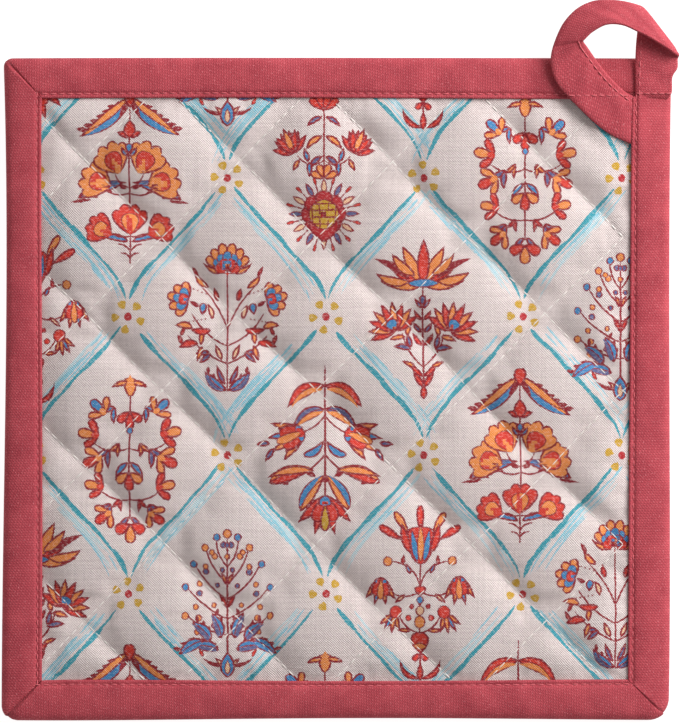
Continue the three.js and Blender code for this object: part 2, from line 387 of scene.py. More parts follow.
# %% [markdown]
# ## Eight sprigs
#
# The flowers are the ordinary ones of old block prints: lilies, a sunflower, clover, poppies, a
# lotus with asters, bellflowers, berries and a tulip. Each sprig is drawn as its own small
# function, from the stem outwards, because a later mark lies over the earlier ones.

# %% Lily, sunflower, clover and poppy
def lily():
    """Trumpets on both sides of a stem, between long saw-edged leaves."""
    s = Sprig()
    s.stem(0, -26, 90, 48)
    for height, reach in ((-24.4, 3.2), (-22.2, 4.2)):
        s.stem(0, height, 30, reach, bend=0.5)
    s.leaf(0.6, -19.4, 8, 8.0, 2.4, "blue", bend=0.8)
    s.stem(0, -17.8, 16, 7, bend=-1.0)
    s.trumpet(5.6, -17.4, 28, 8.6, lip="red", throat="orange")
    s.trumpet(0, -17.4, 90, 10.0, lip="red", throat="orange")
    s.dot(0, -15.4, 1.4, "blue", rim=0.3)
    s.saw_leaf(15.6, -6.4, 161, 15.6, 4.0, "blue", "plum", bend=-1.0, teeth=3)
    s.leaf(11.8, -6.8, -8, 6.2, 1.1, "line", rim=0.0)
    s.stem(0, -4.6, 10, 8, bend=-1.2)
    s.trumpet(5.6, -2.4, 16, 10.6)
    s.stem(0, -3.0, 44, 6, bend=-0.8)
    s.trumpet(2.8, 1.4, 62, 10.6)
    s.leaf(0.2, 6.6, 52, 3.6, 1.7, "blue", bend=-0.3)
    s.draw(0, 7.2, 90, 3.2, 2.6, "petal", "blue")
    s.leaf(0.2, 12.2, 24, 4.0, 2.2, "red", bend=0.3)
    s.leaf(0, 12.0, 90, 5.8, 4.0, "red")
    s.saw_leaf(0.4, 24.4, -38, 19.0, 4.8, "orange", "blue", bend=-1.3, teeth=6)
    s.leaf(0.4, 23.2, -58, 5.4, 1.8, "line", rim=0.0)
    s.draw(0, 21.4, 90, 5.6, 4.0, "petal", "red")
    return s.marks


def sunflower():
    """A round heart with a grid of seeds in a ring of thin petals, under two asters."""
    s = Sprig()
    s.stem(0, 1, 90, 24)
    turns = [-90 + number * 15 for number in range(13)]
    for number, turn in enumerate(turns):
        direction = np.radians(turn)
        foot = (6.2 * np.cos(direction), -11 + 6.2 * np.sin(direction))
        foot = (0.0 if abs(foot[0]) < 1e-6 else foot[0], foot[1])
        if number % 2:
            s.draw(*foot, turn, 3.6, 0.46, "stem", "line")
            tip = (foot[0] + 2.6 * np.cos(direction), foot[1] + 2.6 * np.sin(direction))
            s.draw(*tip, turn, 3.0, 1.1, "petal", "red", rim=0.3)
        else:
            s.draw(*foot, turn, 4.8, 1.9, "leaf", "plum" if number % 4 else "peach", rim=0.4)
    s.fan(0, -11, 90, 180, 9, 7.3, 5.4, ["crimson"])
    s.leaf(0, -10.4, -90, 9.2, 9.6, "crimson")
    s.dot(0, -11, 9.4, "gold", rim=0.5)
    for row in (-3.2, -1.1, 1.1, 3.2):
        s.draw(-4.2 + abs(row) * 0.3, -11 + row, 3, 8.4 - abs(row) * 0.6, 0.42, "stem", "line")
    for column in (1.2, 3.4):
        s.draw(column, -15.4 + column * 0.3, 88, 8.8 - column * 0.6, 0.42, "stem", "line")
    s.fan(0, -0.2, 90, 64, 4, 4.8, 2.6, ["orange"])
    s.leaf(0.5, 6.6, -46, 5.8, 2.0, "plum", bend=0.5)
    s.leaf(0.5, 12.6, -40, 6.4, 2.2, "orange", bend=0.6)
    s.leaf(0.5, 18.4, -34, 5.6, 1.9, "plum", bend=0.5)
    s.stem(0, 5.2, 10, 8, bend=-1.8)
    s.leaf(4.4, 5.0, -92, 4.8, 1.9, "blue")
    s.leaf(4.6, 4.8, 72, 4.4, 1.9, "blue")
    s.leaf(7.4, 5.6, -62, 4.0, 1.8, "orange")
    s.fan(9.0, 7.4, 66, 58, 6, 7.6, 2.5, ["red"], kind="leaf")
    s.fan(9.0, 7.4, 66, 26, 3, 8.4, 2.6, ["orange", "red"], kind="leaf")
    s.fan(0, 20.4, 90, 48, 4, 6.6, 2.9, ["red", "orange"])
    return s.marks


def clover():
    """A tall ring of clover heads, with pairs of leaves inside it."""
    s = Sprig()
    s.stem(0, -19, 90, 44)
    s.stem(0, -13.0, 18, 10, bend=-1.2)
    s.stem(0, 2.6, 8, 11, bend=-1.6)
    s.stem(0, 10.4, 44, 8, bend=-1.2)
    s.leaf_pair(3.2, 4.2, -64, 4.6, "orange", opening=48)
    s.leaf_pair(6.4, 2.4, -58, 6.0, "plum", opening=62)
    s.leaf_pair(2.8, -12.6, -68, 4.2, "red", opening=48)
    s.leaf_pair(5.8, -14.2, -56, 5.4, "plum", opening=62)
    s.leaf_pair(4.6, 15.4, -50, 5.4, "blue", opening=74)
    s.leaf(0.3, -1.6, -50, 6.2, 2.2, "blue", bend=0.4)
    s.leaf(0.3, -18.2, -58, 5.4, 2.0, "plum", bend=0.4)
    s.clover(9.4, 6.6, 12, 6.2, "red", "orange")
    s.clover(8.6, 0.2, -26, 6.2, "orange", "red")
    s.clover(7.4, 13.2, 44, 5.8, "orange", "blue")
    s.clover(8.0, -9.4, 14, 5.8, "red", "orange")
    s.clover(5.8, -16.6, -38, 5.6, "orange", "red")
    s.fan(0, 14.0, -90, 48, 3, 5.6, 3.0, ["red"])
    s.dot(0, 8.0, 2.2, "blue", rim=0.4)
    s.fan(0, -4.6, -90, 52, 3, 5.6, 3.2, ["red", "orange"])
    s.fan(0, -20.4, -90, 62, 3, 5.8, 3.6, ["orange", "red"])
    s.draw(0, 18.4, 90, 5.6, 4.2, "cup", "orange")
    s.leaf(0.2, 22.6, -14, 5.6, 1.9, "orange", bend=0.4)
    s.leaf(0, 18.8, 90, 6.2, 2.4, "orange", rim=0.0)
    return s.marks


def poppy():
    """Three frilled heads on branching stems, over a tuft of leaves."""
    s = Sprig()
    s.stem(0, -23, 90, 38)
    s.saw_leaf(0.3, -22.8, 42, 8.8, 3.4, "blue", "plum", bend=-0.8, teeth=3)
    s.leaf(0.6, -21.0, 66, 6.4, 1.8, "plum", bend=-0.3)
    s.stem(0, -14.8, 36, 15, bend=-1.0)
    s.stem(0, -9.4, 42, 15, bend=-1.2)
    s.stem(0, -4.0, 58, 15, bend=0.8)
    s.leaf(1.6, -13.6, 66, 5.2, 1.9, "peach")
    s.leaf(5.0, -11.4, -40, 4.8, 1.9, "plum")
    s.leaf(5.4, -11.2, -2, 4.4, 1.8, "plum")
    s.leaf(7.8, -9.2, -72, 5.0, 1.9, "orange")
    s.leaf(8.2, -8.8, 94, 5.2, 1.9, "orange")
    s.leaf(9.0, -8.2, -12, 6.2, 2.6, "red", bend=0.4)
    s.leaf(13.6, -8.8, 62, 3.6, 1.5, "red")
    s.leaf(14.4, -6.0, 116, 3.4, 1.4, "red")
    s.leaf(5.2, -4.4, 4, 6.4, 2.4, "red", bend=-0.5)
    s.leaf(10.8, -3.6, 8, 5.4, 2.4, "orange", bend=0.5)
    s.leaf(4.6, -1.0, 70, 4.8, 2.0, "peach", bend=0.3)
    s.draw(8.0, 0.2, 98, 3.6, 2.6, "petal", "blue")
    s.leaf(9.0, 2.8, 30, 3.2, 1.4, "line", rim=0.0)
    s.leaf(3.0, 4.4, 76, 4.4, 1.9, "red")
    s.leaf(5.8, 8.6, 44, 5.8, 2.2, "orange", bend=-0.5)
    s.leaf(9.0, 12.0, 60, 3.6, 1.3, "red")
    s.fan(12.0, 4.6, 14, 66, 5, 6.6, 3.2, ["orange"])
    s.fan(12.0, 4.6, 14, 48, 3, 4.8, 3.0, ["blue"], rim=0.3)
    s.draw(11.2, 4.4, 14, 3.9, 3.6, "petal", "red", rim=0.4)
    s.leaf(0, 14.2, 16, 7.8, 2.0, "orange", bend=-1.5)
    s.fan(0, 13.8, 90, 58, 6, 8.6, 3.4, ["orange"])
    s.fan(0, 13.8, 90, 52, 5, 5.9, 3.0, ["blue"], rim=0.3)
    s.fan(0, 13.2, 90, 60, 4, 4.6, 3.2, ["red"], rim=0.4)
    s.draw(0, 12.6, 90, 4.4, 3.6, "petal", "red", rim=0.0)
    for column in range(5):
        s.dot(6.6 + column * 1.3, 6.6 + 0.5 * column, 0.5, "line")
        s.dot(7.0 + column * 1.2, -1.0 - 0.2 * column, 0.5, "line")
    return s.marks

# %% Lotus, bellflower, berries and tulip
def lotus():
    """A wide open flower on top, with two asters below it."""
    s = Sprig()
    s.stem(0, -25, 90, 34, width=0.7)
    s.leaf(0, -25.4, 90, 4.6, 2.2, "red")
    s.leaf(0, -21.8, 56, 5.6, 2.0, "red")
    s.leaf(0, -18.6, 48, 6.2, 1.8, "red", bend=-0.5)
    s.stem(0, -15.6, 58, 12, bend=-1.2)
    s.leaf(3.6, -10.4, 8, 5.6, 2.1, "plum", bend=0.4)
    s.leaf(3.8, -10.0, 76, 4.8, 2.0, "plum")
    s.leaf(5.4, -6.4, -14, 5.0, 2.0, "orange", bend=0.3)
    s.leaf(5.0, -6.0, 102, 4.4, 2.0, "orange")
    s.leaf(2.4, -15.6, 22, 4.4, 1.7, "orange")
    s.aster(8.4, -4.6, 62, 9.4)
    s.leaf(0.3, -9.2, 54, 5.0, 1.8, "red", bend=-0.3)
    s.leaf(0.3, -5.0, 50, 4.2, 1.7, "plum", bend=-0.3)
    s.leaf(0.3, -1.2, 50, 3.8, 1.5, "red", bend=-0.3)
    s.leaf(0.2, 2.2, 52, 3.8, 1.6, "plum")
    s.draw(0, 2.6, 90, 3.6, 2.4, "petal", "plum")
    s.fan(0, 8.8, 90, 82, 7, 13.6, 4.0, ["red", "orange"], kind="leaf", start=1.0)
    s.leaf(4.2, 11.4, 30, 12.0, 2.4, "line", bend=0.8, rim=0.0)
    s.leaf(4.2, 10.6, 14, 10.4, 3.2, "orange", bend=-1.2)
    s.leaf(2.6, 12.4, 44, 9.6, 3.2, "orange", bend=-0.8)
    s.draw(-4.6, 10.0, 0, 9.2, 3.0, "round", "blue", rim=0.42)
    return s.marks


def bellflower():
    """Arching leaves over two bells and a great bell that hangs from the middle."""
    s = Sprig()
    s.stem(0, -14, 90, 42, width=0.7)
    s.split_leaf(0, 21.8, -30, 13.4, 4.2, "red", "orange", bend=1.8)
    s.split_leaf(0.3, 14.8, -32, 11.0, 4.2, "plum", "orange", bend=1.0)
    s.stem(0, 12.6, -38, 8.6, bend=-0.8)
    s.bell(6.0, 7.6, -20, 12.4)
    s.leaf(16.6, 4.2, -4, 4.4, 2.0, "plum")
    s.leaf(15.4, 2.6, -58, 4.8, 2.0, "plum")
    s.draw(0.3, 5.0, -38, 7.6, 2.8, "petal", "blue", bend=-1.0)
    s.stem(0, 0.8, -40, 9.0, bend=-0.6)
    s.saw_leaf(16.8, -7.8, 162, 14.0, 4.8, "red", "orange", bend=-0.9, teeth=2)
    s.leaf(3.2, -4.2, -8, 14.2, 2.8, "orange", bend=1.1)
    s.saw_leaf(7.4, -16.2, 124, 13.2, 4.4, "orange", "blue", bend=-0.9, teeth=2)
    s.fan(0, -11.6, -90, 44, 4, 13.2, 3.2, ["red", "plum"], kind="leaf")
    s.fan(0, -11.8, -90, 20, 2, 9.4, 4.6, ["red"])
    s.draw(0, -13.8, -90, 8.8, 3.2, "petal", "gold")
    s.draw(0, -11.4, -90, 3.2, 4.4, "cup", "blue")
    return s.marks


def berries():
    """Curved twigs with berries on both sides, over saw-edged leaves."""
    s = Sprig()
    s.stem(0, -24, 90, 41, width=0.7)
    rows = ((-13, 26, 14), (-8, 38, 16), (-2, 48, 15), (3, 60, 13), (8, 72, 10))
    for number, (height, angle, reach) in enumerate(rows):
        s.stem(0, height, angle, reach, bend=-1.2)
        turn = np.radians(angle)
        for share, aside, size, ink in ((1.0, 0.8, 2.4, "blue"), (0.72, 2.0, 2.1, "plum"),
                                        (0.62, -2.0, 1.9, "orange"), (0.36, 1.9, 1.7, "plum")):
            x = reach * share * np.cos(turn) - aside * np.sin(turn) + 0.8
            y = height + reach * share * np.sin(turn) + aside * np.cos(turn) - 1.0
            s.dot(x, y, size, ink if (number + size * 10) % 3 else "orange", rim=0.4)
    for x, y, angle in ((2.6, -17.4, 10), (5.0, -14.6, 44), (2.0, -14.0, 70)):
        s.saw_leaf(x, y, angle, 8.4, 3.6, "blue", "plum", bend=0.5, teeth=3)
    s.saw_leaf(7.6, -14.4, -30, 8.6, 3.8, "blue", "blue", bend=0.4, teeth=3)
    s.leaf(0.4, -22.0, 16, 7.6, 1.3, "line", bend=-1.0, rim=0.0)
    s.leaf(7.4, -19.6, 62, 3.0, 1.2, "red", rim=0.3)
    s.leaf(0.4, -4.6, 62, 4.4, 1.6, "red", bend=0.3)
    s.leaf(0.4, 2.6, 66, 4.0, 1.5, "orange", bend=0.3)
    s.dot(0, 17.8, 2.8, "orange", rim=0.42)
    s.dot(0, 14.4, 1.8, "plum", rim=0.4)
    s.leaf(0.2, -25.4, 56, 6.6, 2.2, "peach", bend=0.7)
    s.leaf(0, -26.0, 90, 8.0, 4.6, "blue")
    s.leaf(0, -25.0, 90, 4.4, 1.8, "peach", rim=0.3)
    return s.marks


def tulip():
    """A tulip on a stem of beads, with two bells at its sides."""
    s = Sprig()
    s.stem(0, -25, 90, 36, width=0.7)
    s.leaf(0, -26.4, 44, 8.6, 1.9, "red", bend=-1.8)
    s.leaf(0, -27.0, 90, 5.4, 2.2, "red")
    s.fan(0, -18.6, -90, 46, 2, 3.6, 2.2, ["red"])
    s.draw(0, -18.8, 90, 6.8, 5.8, "petal", "red")
    s.draw(-2.0, -16.4, 0, 4.0, 2.2, "round", "orange", rim=0.36)
    s.stem(0, -12.4, 46, 9.6, bend=-1.6)
    s.leaf(2.6, -11.4, 4, 4.6, 1.6, "orange", bend=-0.3)
    s.fan(7.8, -6.4, -70, 34, 4, 6.6, 1.9, ["orange", "blue"], kind="leaf")
    s.dot(7.4, -6.0, 4.0, "red", rim=0.42)
    s.dot(3.6, -7.8, 1.9, "red", rim=0.36)
    s.dot(2.6, -4.4, 1.6, "crimson", rim=0.36)
    s.dot(0, -9.0, 3.8, "orange", rim=0.42)
    s.dot(0, -5.6, 3.0, "peach", rim=0.42)
    s.dot(0, -2.4, 2.4, "blue", rim=0.36)
    s.draw(0, -1.2, 90, 3.2, 3.8, "petal", "red")
    s.stem(0, 1.6, 40, 12.6, bend=2.4)
    s.leaf(3.0, 5.8, 66, 3.6, 1.6, "blue")
    s.leaf(5.4, 8.4, 96, 3.2, 1.4, "red")
    s.dot(9.8, 9.6, 3.0, "orange", rim=0.42)
    s.stem(0, 0.2, 10, 11.0, bend=-2.2)
    s.leaf(4.6, -0.4, -42, 4.4, 1.6, "peach")
    s.bell(11.8, 4.8, -88, 9.4)
    for turn, ink in ((58, "red"), (32, "orange"), (0, "red")):
        direction = np.radians(90 - turn)
        foot = (6.4 * np.cos(direction), 13.2 + 5.0 * np.sin(direction))
        foot = (foot[0] if turn else 0.0, foot[1])
        s.draw(*foot, 90 - turn, 8.2, 2.6, "petal", ink)
    s.draw(0, 8.6, 90, 11.2, 8.6, "cup", "red")
    s.leaf(3.0, 12.0, 74, 9.6, 2.6, "red", bend=-0.4)
    s.leaf(1.0, 9.4, 80, 10.0, 2.2, "blue", rim=0.3)
    s.leaf(0, 9.4, 90, 11.4, 2.2, "orange", rim=0.3)
    return s.marks

# %% [markdown]
# ## The trellis and where the sprigs stand
#
# The sprigs stand in rows, each row half a step to the side of the one before, so the rosettes
# between them are the crossings of a trellis. A strand of the trellis is not a straight line: it
# swings like a hanging ribbon from one rosette down to the next. It is painted twice, with ragged
# strokes of a loaded teal brush and a few dry, pale hairs of the brush beside them.

# %% Lay out the print
CELL = (60.0, 84.3)
ROSETTE = (-33.4, 64.3)
ROW_STEP = 42.25
ROWS = range(-1, 6)
COLUMNS = range(-2, 5)
HAIRS = {"count": 6, "aside": 3.3, "apart": 0.72, "stray": 0.1, "sky_share": 0.62}
TEAL_STROKES = {"count": 6, "overlap": 0.03, "stray": 0.25}
SPRIG_ROWS = [
    {"y": 106.0, "x": (-92.0, -33.3, 26.2, 86.3), "sprigs": (bellflower, berries, tulip, poppy)},
    {"y": 64.3, "x": (-63.1, -4.0, 57.3), "sprigs": (lily, sunflower, clover)},
    {"y": 22.3, "x": (-92.0, -33.3, 26.2, 86.3), "sprigs": (tulip, poppy, lotus, berries)},
    {"y": -20.7, "x": (-63.1, -3.7, 55.8), "sprigs": (clover, bellflower, lily)},
    {"y": -61.9, "x": (-92.0, -33.3, 25.3, 84.7), "sprigs": (lotus, berries, tulip, poppy)},
    {"y": -104.5, "x": (-63.1, -3.7, 55.2), "sprigs": (lily, clover, bellflower)},
]


def strand_point(top, side, share):
    """A strand swings out from its upper rosette: down in even steps, and sideways by the share
    plus a sine of its square, so that it leaves level and arrives steep."""
    swing = share + 0.155 * np.sin(np.pi * share**2)
    return np.array([top[0] + side * swing * CELL[0] / 2, top[1] - share * CELL[1] / 2])


def strand_mark(top, side, start, end, shift, width, ink):
    """A stroke along part of a strand, moved sideways by shift, and bent to follow it."""
    ends = [strand_point(top, side, share) for share in (start, (start + end) / 2, end)]
    chord = ends[2] - ends[0]
    length = np.hypot(*chord)
    normal = np.array([-chord[1], chord[0]]) / length
    bend = float(np.dot(ends[1] - (ends[0] + ends[2]) / 2, normal))
    foot = ends[0] + np.array([shift, 0.0])
    angle = np.degrees(np.arctan2(chord[1], chord[0]))
    return mark(*foot, angle, length, width, "brush", ink, bend=bend)


def strand(top, side, away):
    """One strand: pale hairs on the side that away points to, and teal strokes on the curve."""
    marks = []
    for hair in range(HAIRS["count"]):
        place = HAIRS["aside"] + HAIRS["apart"] * (hair - (HAIRS["count"] - 1) / 2)
        aside = away * side * place + HAIRS["stray"] * rng.normal()
        cuts = np.sort(rng.uniform(0.07, 0.9, 4))
        for start, end in ((cuts[0], cuts[1]), (cuts[1] + 0.02, cuts[3])):
            ink = "sky" if rng.random() < HAIRS["sky_share"] else "mist"
            width = rng.uniform(0.4, 0.85)
            marks.append(strand_mark(top, side, start, max(end, start + 0.1), aside, width, ink))
    count, overlap = TEAL_STROKES["count"], TEAL_STROKES["overlap"]
    edges = np.linspace(0.12, 0.85, count + 1) + np.append(rng.uniform(-0.03, 0.03, count), 0.0)
    for start, end in zip(edges[:-1], edges[1:]):
        aside = TEAL_STROKES["stray"] * rng.normal()
        width = rng.uniform(0.7, 1.7)
        marks.append(strand_mark(top, side, start - overlap, end + overlap, aside, width, "teal"))
    start, end = rng.uniform(0.08, 0.2), rng.uniform(0.5, 0.7)
    marks.append(strand_mark(top, side, start, end, -0.15, 0.8, "teal"))
    return marks


def crossings():
    """The row and the middle of every rosette, each second row half a cell to the side."""
    for row in ROWS:
        for column in COLUMNS:
            yield row, (ROSETTE[0] + (column + row % 2 / 2) * CELL[0], ROSETTE[1] - row * ROW_STEP)


def trellis():
    """Every rosette has a strand down to the left and one down to the right."""
    marks = []
    for row, top in crossings():
        for side in (-1, 1):
            marks += strand(top, side, away=1 if row % 2 else -1)
    return marks


def rosettes():
    """Five little yellow petals round a red dot, each rosette turned a little differently."""
    marks = []
    for _, middle in crossings():
        twist = rng.uniform(-14, 14)
        for turn in (40, 108, 174, 248, 331):
            direction = np.radians(turn + twist)
            foot = (middle[0] + 2.5 * np.cos(direction), middle[1] + 2.5 * np.sin(direction))
            marks.append(mark(*foot, turn + twist, 2.6, 2.5, "petal", "gold", rim=0.0))
        marks.append(mark(middle[0], middle[1] - 1.2, 90, 2.4, 2.3, "round", "crimson"))
    return marks


def print_marks():
    """The trellis first, then the rosettes, then every sprig in its place."""
    marks = trellis() + rosettes()
    for row in SPRIG_ROWS:
        for x, sprig in zip(row["x"], row["sprigs"]):
            for each in sprig():
                marks.append([each[0] + x, each[1] + row["y"], *each[2:]])
    return np.array(marks)


PRINT = print_marks()
print("the print has", len(PRINT), "marks")

# %% [markdown]
# ## Giving each face the marks that cross it
#
# A shader that tested every mark at every point would be far too slow. But each face of the pad is
# only a millimetre wide, and few marks cross it. So every face carries the rows of just those
# marks, in painting order, as attributes. Along and across a mark are linear in position, so the
# values at a face's corners blend to exactly the right ones inside it, and the edges stay sharp.

# %% Sort the marks into layers
LAYERS = 8
REACH = 0.72
NO_MARK = {"place": (9.0, 99.0, 1.0), "form": (1.0, 1.0, 1.0), "ink": (0.0, 0.0, 0.0)}


def mark_place(row, places):
    """Where places lie on a mark: the share of its length, and millimetres to its left."""
    x, y, angle, length = row[:4]
    dx = places[..., 0] - x
    dy = places[..., 1] - y
    along = (dx * np.cos(angle) + dy * np.sin(angle)) / length
    return along, dy * np.cos(angle) - dx * np.sin(angle)


def most_swell(base, tip):
    """The most that a power of the way from the base, times one of the way to the tip, can be."""
    peak = base / (base + tip)
    return peak**base * (1 - peak) ** tip


def mark_half_width(row, along):
    """The half width swells with that product, and reaches its full value once."""
    half, base, tip = row[4:7]
    share = np.clip(along, 1e-3, 1 - 1e-3)
    return half * share**base * (1 - share) ** tip / most_swell(base, tip)


def add_print(piece, face_corners):
    """Writes, for every layer, where each corner lies on its mark, the mark's form and its ink."""
    middles = face_corners.mean(axis=1)
    count = len(middles)
    used = np.zeros(count, int)
    tables = {}
    for name, empty in NO_MARK.items():
        tables[name] = np.tile(np.array(empty, np.float32), (LAYERS, count, 4, 1))
    place, form, ink = tables.values()
    crowded = 0
    for row in PRINT:
        length, bend, code, rim = row[3], row[7], row[8], row[9]
        along, aside = mark_place(row, middles)
        margin = REACH / length
        near = (along > -margin) & (along < 1 + margin)
        share = np.clip(along, 0, 1)
        offset = np.abs(aside - 4 * bend * share * (1 - share))
        widest = np.maximum.reduce([mark_half_width(row, along + step * margin) for step in (-1, 0, 1)])
        near &= offset < widest + REACH + abs(bend) / length
        faces = np.flatnonzero(near)
        crowded += int((used[faces] >= LAYERS).sum())
        faces = faces[used[faces] < LAYERS]
        layer = used[faces]
        corner_along, corner_aside = mark_place(row, face_corners[faces])
        place[layer, faces, :, 0] = corner_along
        place[layer, faces, :, 1] = corner_aside
        place[layer, faces, :, 2] = length
        half, base, tip = row[4:7]
        form[layer, faces] = (half / most_swell(base, tip), base, tip)
        ink[layer, faces] = ((code + 0.5) / len(INKS), 4 * bend, rim)
        used[faces] += 1
    print("marks on the busiest face", used.max(), "left out", crowded)
    for layer in range(LAYERS):
        for name, values in tables.items():
            attribute = piece.data.attributes.new(f"{name}_{layer}", "FLOAT_VECTOR", "CORNER")
            filled = np.tile(np.array(NO_MARK[name], np.float32), (len(piece.data.loops), 1))
            filled[: count * 4] = values[layer].reshape(-1, 3)
            attribute.data.foreach_set("vector", filled.ravel())

# %% [markdown]
# ## Canvas
#
# The ground is a plain-woven cotton canvas: threads go over and under each other, which looks like
# a fine checkerboard of bumps. Its threads are spun unevenly, so some run thick for a way. The
# inks lie on the high places of the threads, so their edges are a little ragged.

# %% The printed canvas and the plain back
THREAD = 0.36
THIN_THREAD = linear(219, 204, 202)
THICK_THREAD = linear(236, 223, 220)
WORN_INK = linear(232, 220, 216)
GAP_SHADE = linear(150, 132, 128)
EDGE_BLUR = 0.07
CANVAS_RELIEF = 0.2


def weave(finish, across, up, vector):
    """Bumps where one thread passes over another: the product of a sine each way."""
    wobble = finish.noise(vector, 0.35) * 0.5
    rows = finish.sine((up + wobble) * (np.pi / THREAD))
    columns = finish.sine((across + wobble) * (np.pi / THREAD))
    return rows * columns


def slubs(finish, vector):
    """Long, thin patches where a thread runs thick, most of them across the cloth."""
    level = finish.noise(finish.stretched(vector, (0.05, 1.6, 1.0)), 1.0)
    upright = finish.noise(finish.stretched(vector, (1.6, 0.04, 1.0)), 1.0)
    return level * 0.6 + upright * 0.4


def layer_over(finish, layer, colour, ragged):
    """Lays one layer of marks over a colour. A mark's edge is where the distance from its spine is
    its half width, and dividing by the slope there makes the line round it even."""
    along, aside, length = finish.split(finish.attribute(f"place_{layer}"))
    swell, base, tip = finish.split(finish.attribute(f"form_{layer}"))
    code, bend, rim = finish.split(finish.attribute(f"ink_{layer}"))
    share = finish.between(along, 0.004, 0.996)
    rest = 1 - share
    half = swell * share**base * rest**tip
    offset = abs(aside - bend * share * rest)
    slope = half / length * (base / share - tip / rest)
    distance = (offset - half) * finish.maths("INVERSE_SQRT", slope * slope + 1)
    beyond = finish.at_least(abs(along - 0.5) - 0.5, 0.0) * length
    distance = distance + beyond + ragged
    inside = finish.fade(distance, EDGE_BLUR, -EDGE_BLUR)
    edge = finish.fade(distance + rim, -EDGE_BLUR, EDGE_BLUR)
    stops = [(number / len(INKS), colour_of) for number, colour_of in enumerate(INKS.values())]
    fill = finish.node("ShaderNodeValToRGB", {"stops": stops}, {"Fac": code})
    drawn = finish.mix(edge * finish.fade(rim, 0.0, 0.2), fill, INKS["line"])
    return finish.mix(inside, colour, drawn)


def bare_canvas(finish):
    """The cloth before it is printed: its position, its bumps, its thick threads and its colour."""
    vector, across, up = finish.flat_cloth()
    bumps = weave(finish, across, up, vector)
    thick = slubs(finish, vector)
    return vector, bumps, thick, finish.mix(finish.fade(thick, 0.35, 0.65), THIN_THREAD, THICK_THREAD)


def printed_canvas():
    """All the layers of marks over the cloth, then worn ink, then the shade between the threads."""
    finish = Finish("printed_canvas", roughness=0.86, specular=0.2)
    vector, bumps, thick, colour = bare_canvas(finish)
    ragged = (finish.noise(vector, 1.5, detail=3.0) - 0.5) * 0.7 + bumps * 0.08
    for layer in range(LAYERS):
        colour = layer_over(finish, layer, colour, ragged)
    washed = finish.noise(finish.stretched(vector, (1.1, 1.9, 1.0)), 1.0, detail=3.0)
    colour = finish.mix(finish.fade(washed, 0.5, 0.72) * 0.36, colour, WORN_INK)
    gaps = finish.fade(bumps + (washed - 0.5) * 1.6, 0.5, -0.9)
    colour = finish.mix(gaps * 0.52, colour, GAP_SHADE, blend="MULTIPLY")
    return finish.finished(colour, bumps * 0.5 + thick * 0.7, CANVAS_RELIEF)


def plain_canvas():
    """The same cloth without a print, for the back and the edge under the tape."""
    finish = Finish("plain_canvas", roughness=0.88, specular=0.2)
    _, bumps, thick, colour = bare_canvas(finish)
    colour = finish.mix(finish.fade(bumps, 0.5, -0.9) * 0.42, colour, GAP_SHADE, blend="MULTIPLY")
    return finish.finished(colour, bumps * 0.5 + thick * 0.7, CANVAS_RELIEF)


PRINTED_CANVAS = printed_canvas()
PLAIN_CANVAS = plain_canvas()

# %% [markdown]
# ## The quilted pad
#
# Two cloths with batting between them are sewn through along diagonal lines both ways. Between the
# lines the batting pushes the cloth up into soft diamonds, and beside each line the cloth, which
# has nowhere to go, gathers into small tucks. The diamonds start from a formula, and a short cloth
# simulation with a little pressure, pinned along the stitching, then swells them. The groove under
# the thread and the tucks beside it are finer than the simulated grid, so a formula adds them last.

# %% The pad's shape before it is stuffed
PITCH = 46.8
CROSSING = np.array([-6.45, -0.55])
STEPS = 26
STEP = PITCH / STEPS
TAPE_WIDTH = {"left": 11.6, "right": 12.6, "top": 12.2, "bottom": 12.0}
OUTSIDE = np.array([101.5, 100.8])
RIM_HEIGHT = 1.0
CROWN = {"front": 3.6 * 0.92, "back": 3.3}
ROUNDNESS = 0.65
EDGE_FADE = 9.0
PRESSED = (84.0, 86.0)
PRESSED_REACH = (11, 25)


def grid_lines(half, crossing):
    """Evenly spaced lines that meet the stitching, with the pad's own edges at the ends."""
    low = int(np.ceil((-half - crossing) / STEP + 0.4))
    high = int(np.floor((half - crossing) / STEP - 0.4))
    return np.concatenate([[-half], crossing + STEP * np.arange(low, high + 1), [half]])


def fullness(x, y):
    """0 on a stitch line and 1 in the middle of a diamond: a sine across each way of stitching."""
    dx = x - CROSSING[0]
    dy = y - CROSSING[1]
    both = np.abs(np.sin(np.pi * (dx + dy) / PITCH) * np.sin(np.pi * (dx - dy) / PITCH))
    return both**ROUNDNESS


def inside_tape(x, y):
    """Millimetres from the tape's inner edge, and negative under the tape."""
    left = x + OUTSIDE[0] - TAPE_WIDTH["left"]
    right = OUTSIDE[0] - TAPE_WIDTH["right"] - x
    bottom = y + OUTSIDE[1] - TAPE_WIDTH["bottom"]
    top = OUTSIDE[1] - TAPE_WIDTH["top"] - y
    return np.minimum.reduce([left, right, bottom, top])


def clear_of_loop(x, y):
    """0 where the loop presses the cloth flat and 1 well away from it."""
    return smooth_step(*PRESSED_REACH, np.hypot(x - PRESSED[0], y - PRESSED[1]))


def rest_height(x, y, crown):
    """The diamonds rise from the stitching, and fade out towards the tape and under the loop."""
    fade = smooth_step(0, EDGE_FADE, inside_tape(x, y)) * clear_of_loop(x, y)
    return RIM_HEIGHT + (crown - RIM_HEIGHT) * fade * fullness(x, y)


columns = grid_lines(PAD_HALF[0], CROSSING[0])
rows = grid_lines(PAD_HALF[1], CROSSING[1])
GRID_X, GRID_Y = np.meshgrid(columns, rows)
front = np.dstack([GRID_X, GRID_Y, rest_height(GRID_X, GRID_Y, CROWN["front"])])
back = np.dstack([GRID_X, GRID_Y, -rest_height(GRID_X, GRID_Y, CROWN["back"])])
print("quilting grid", GRID_X.shape)

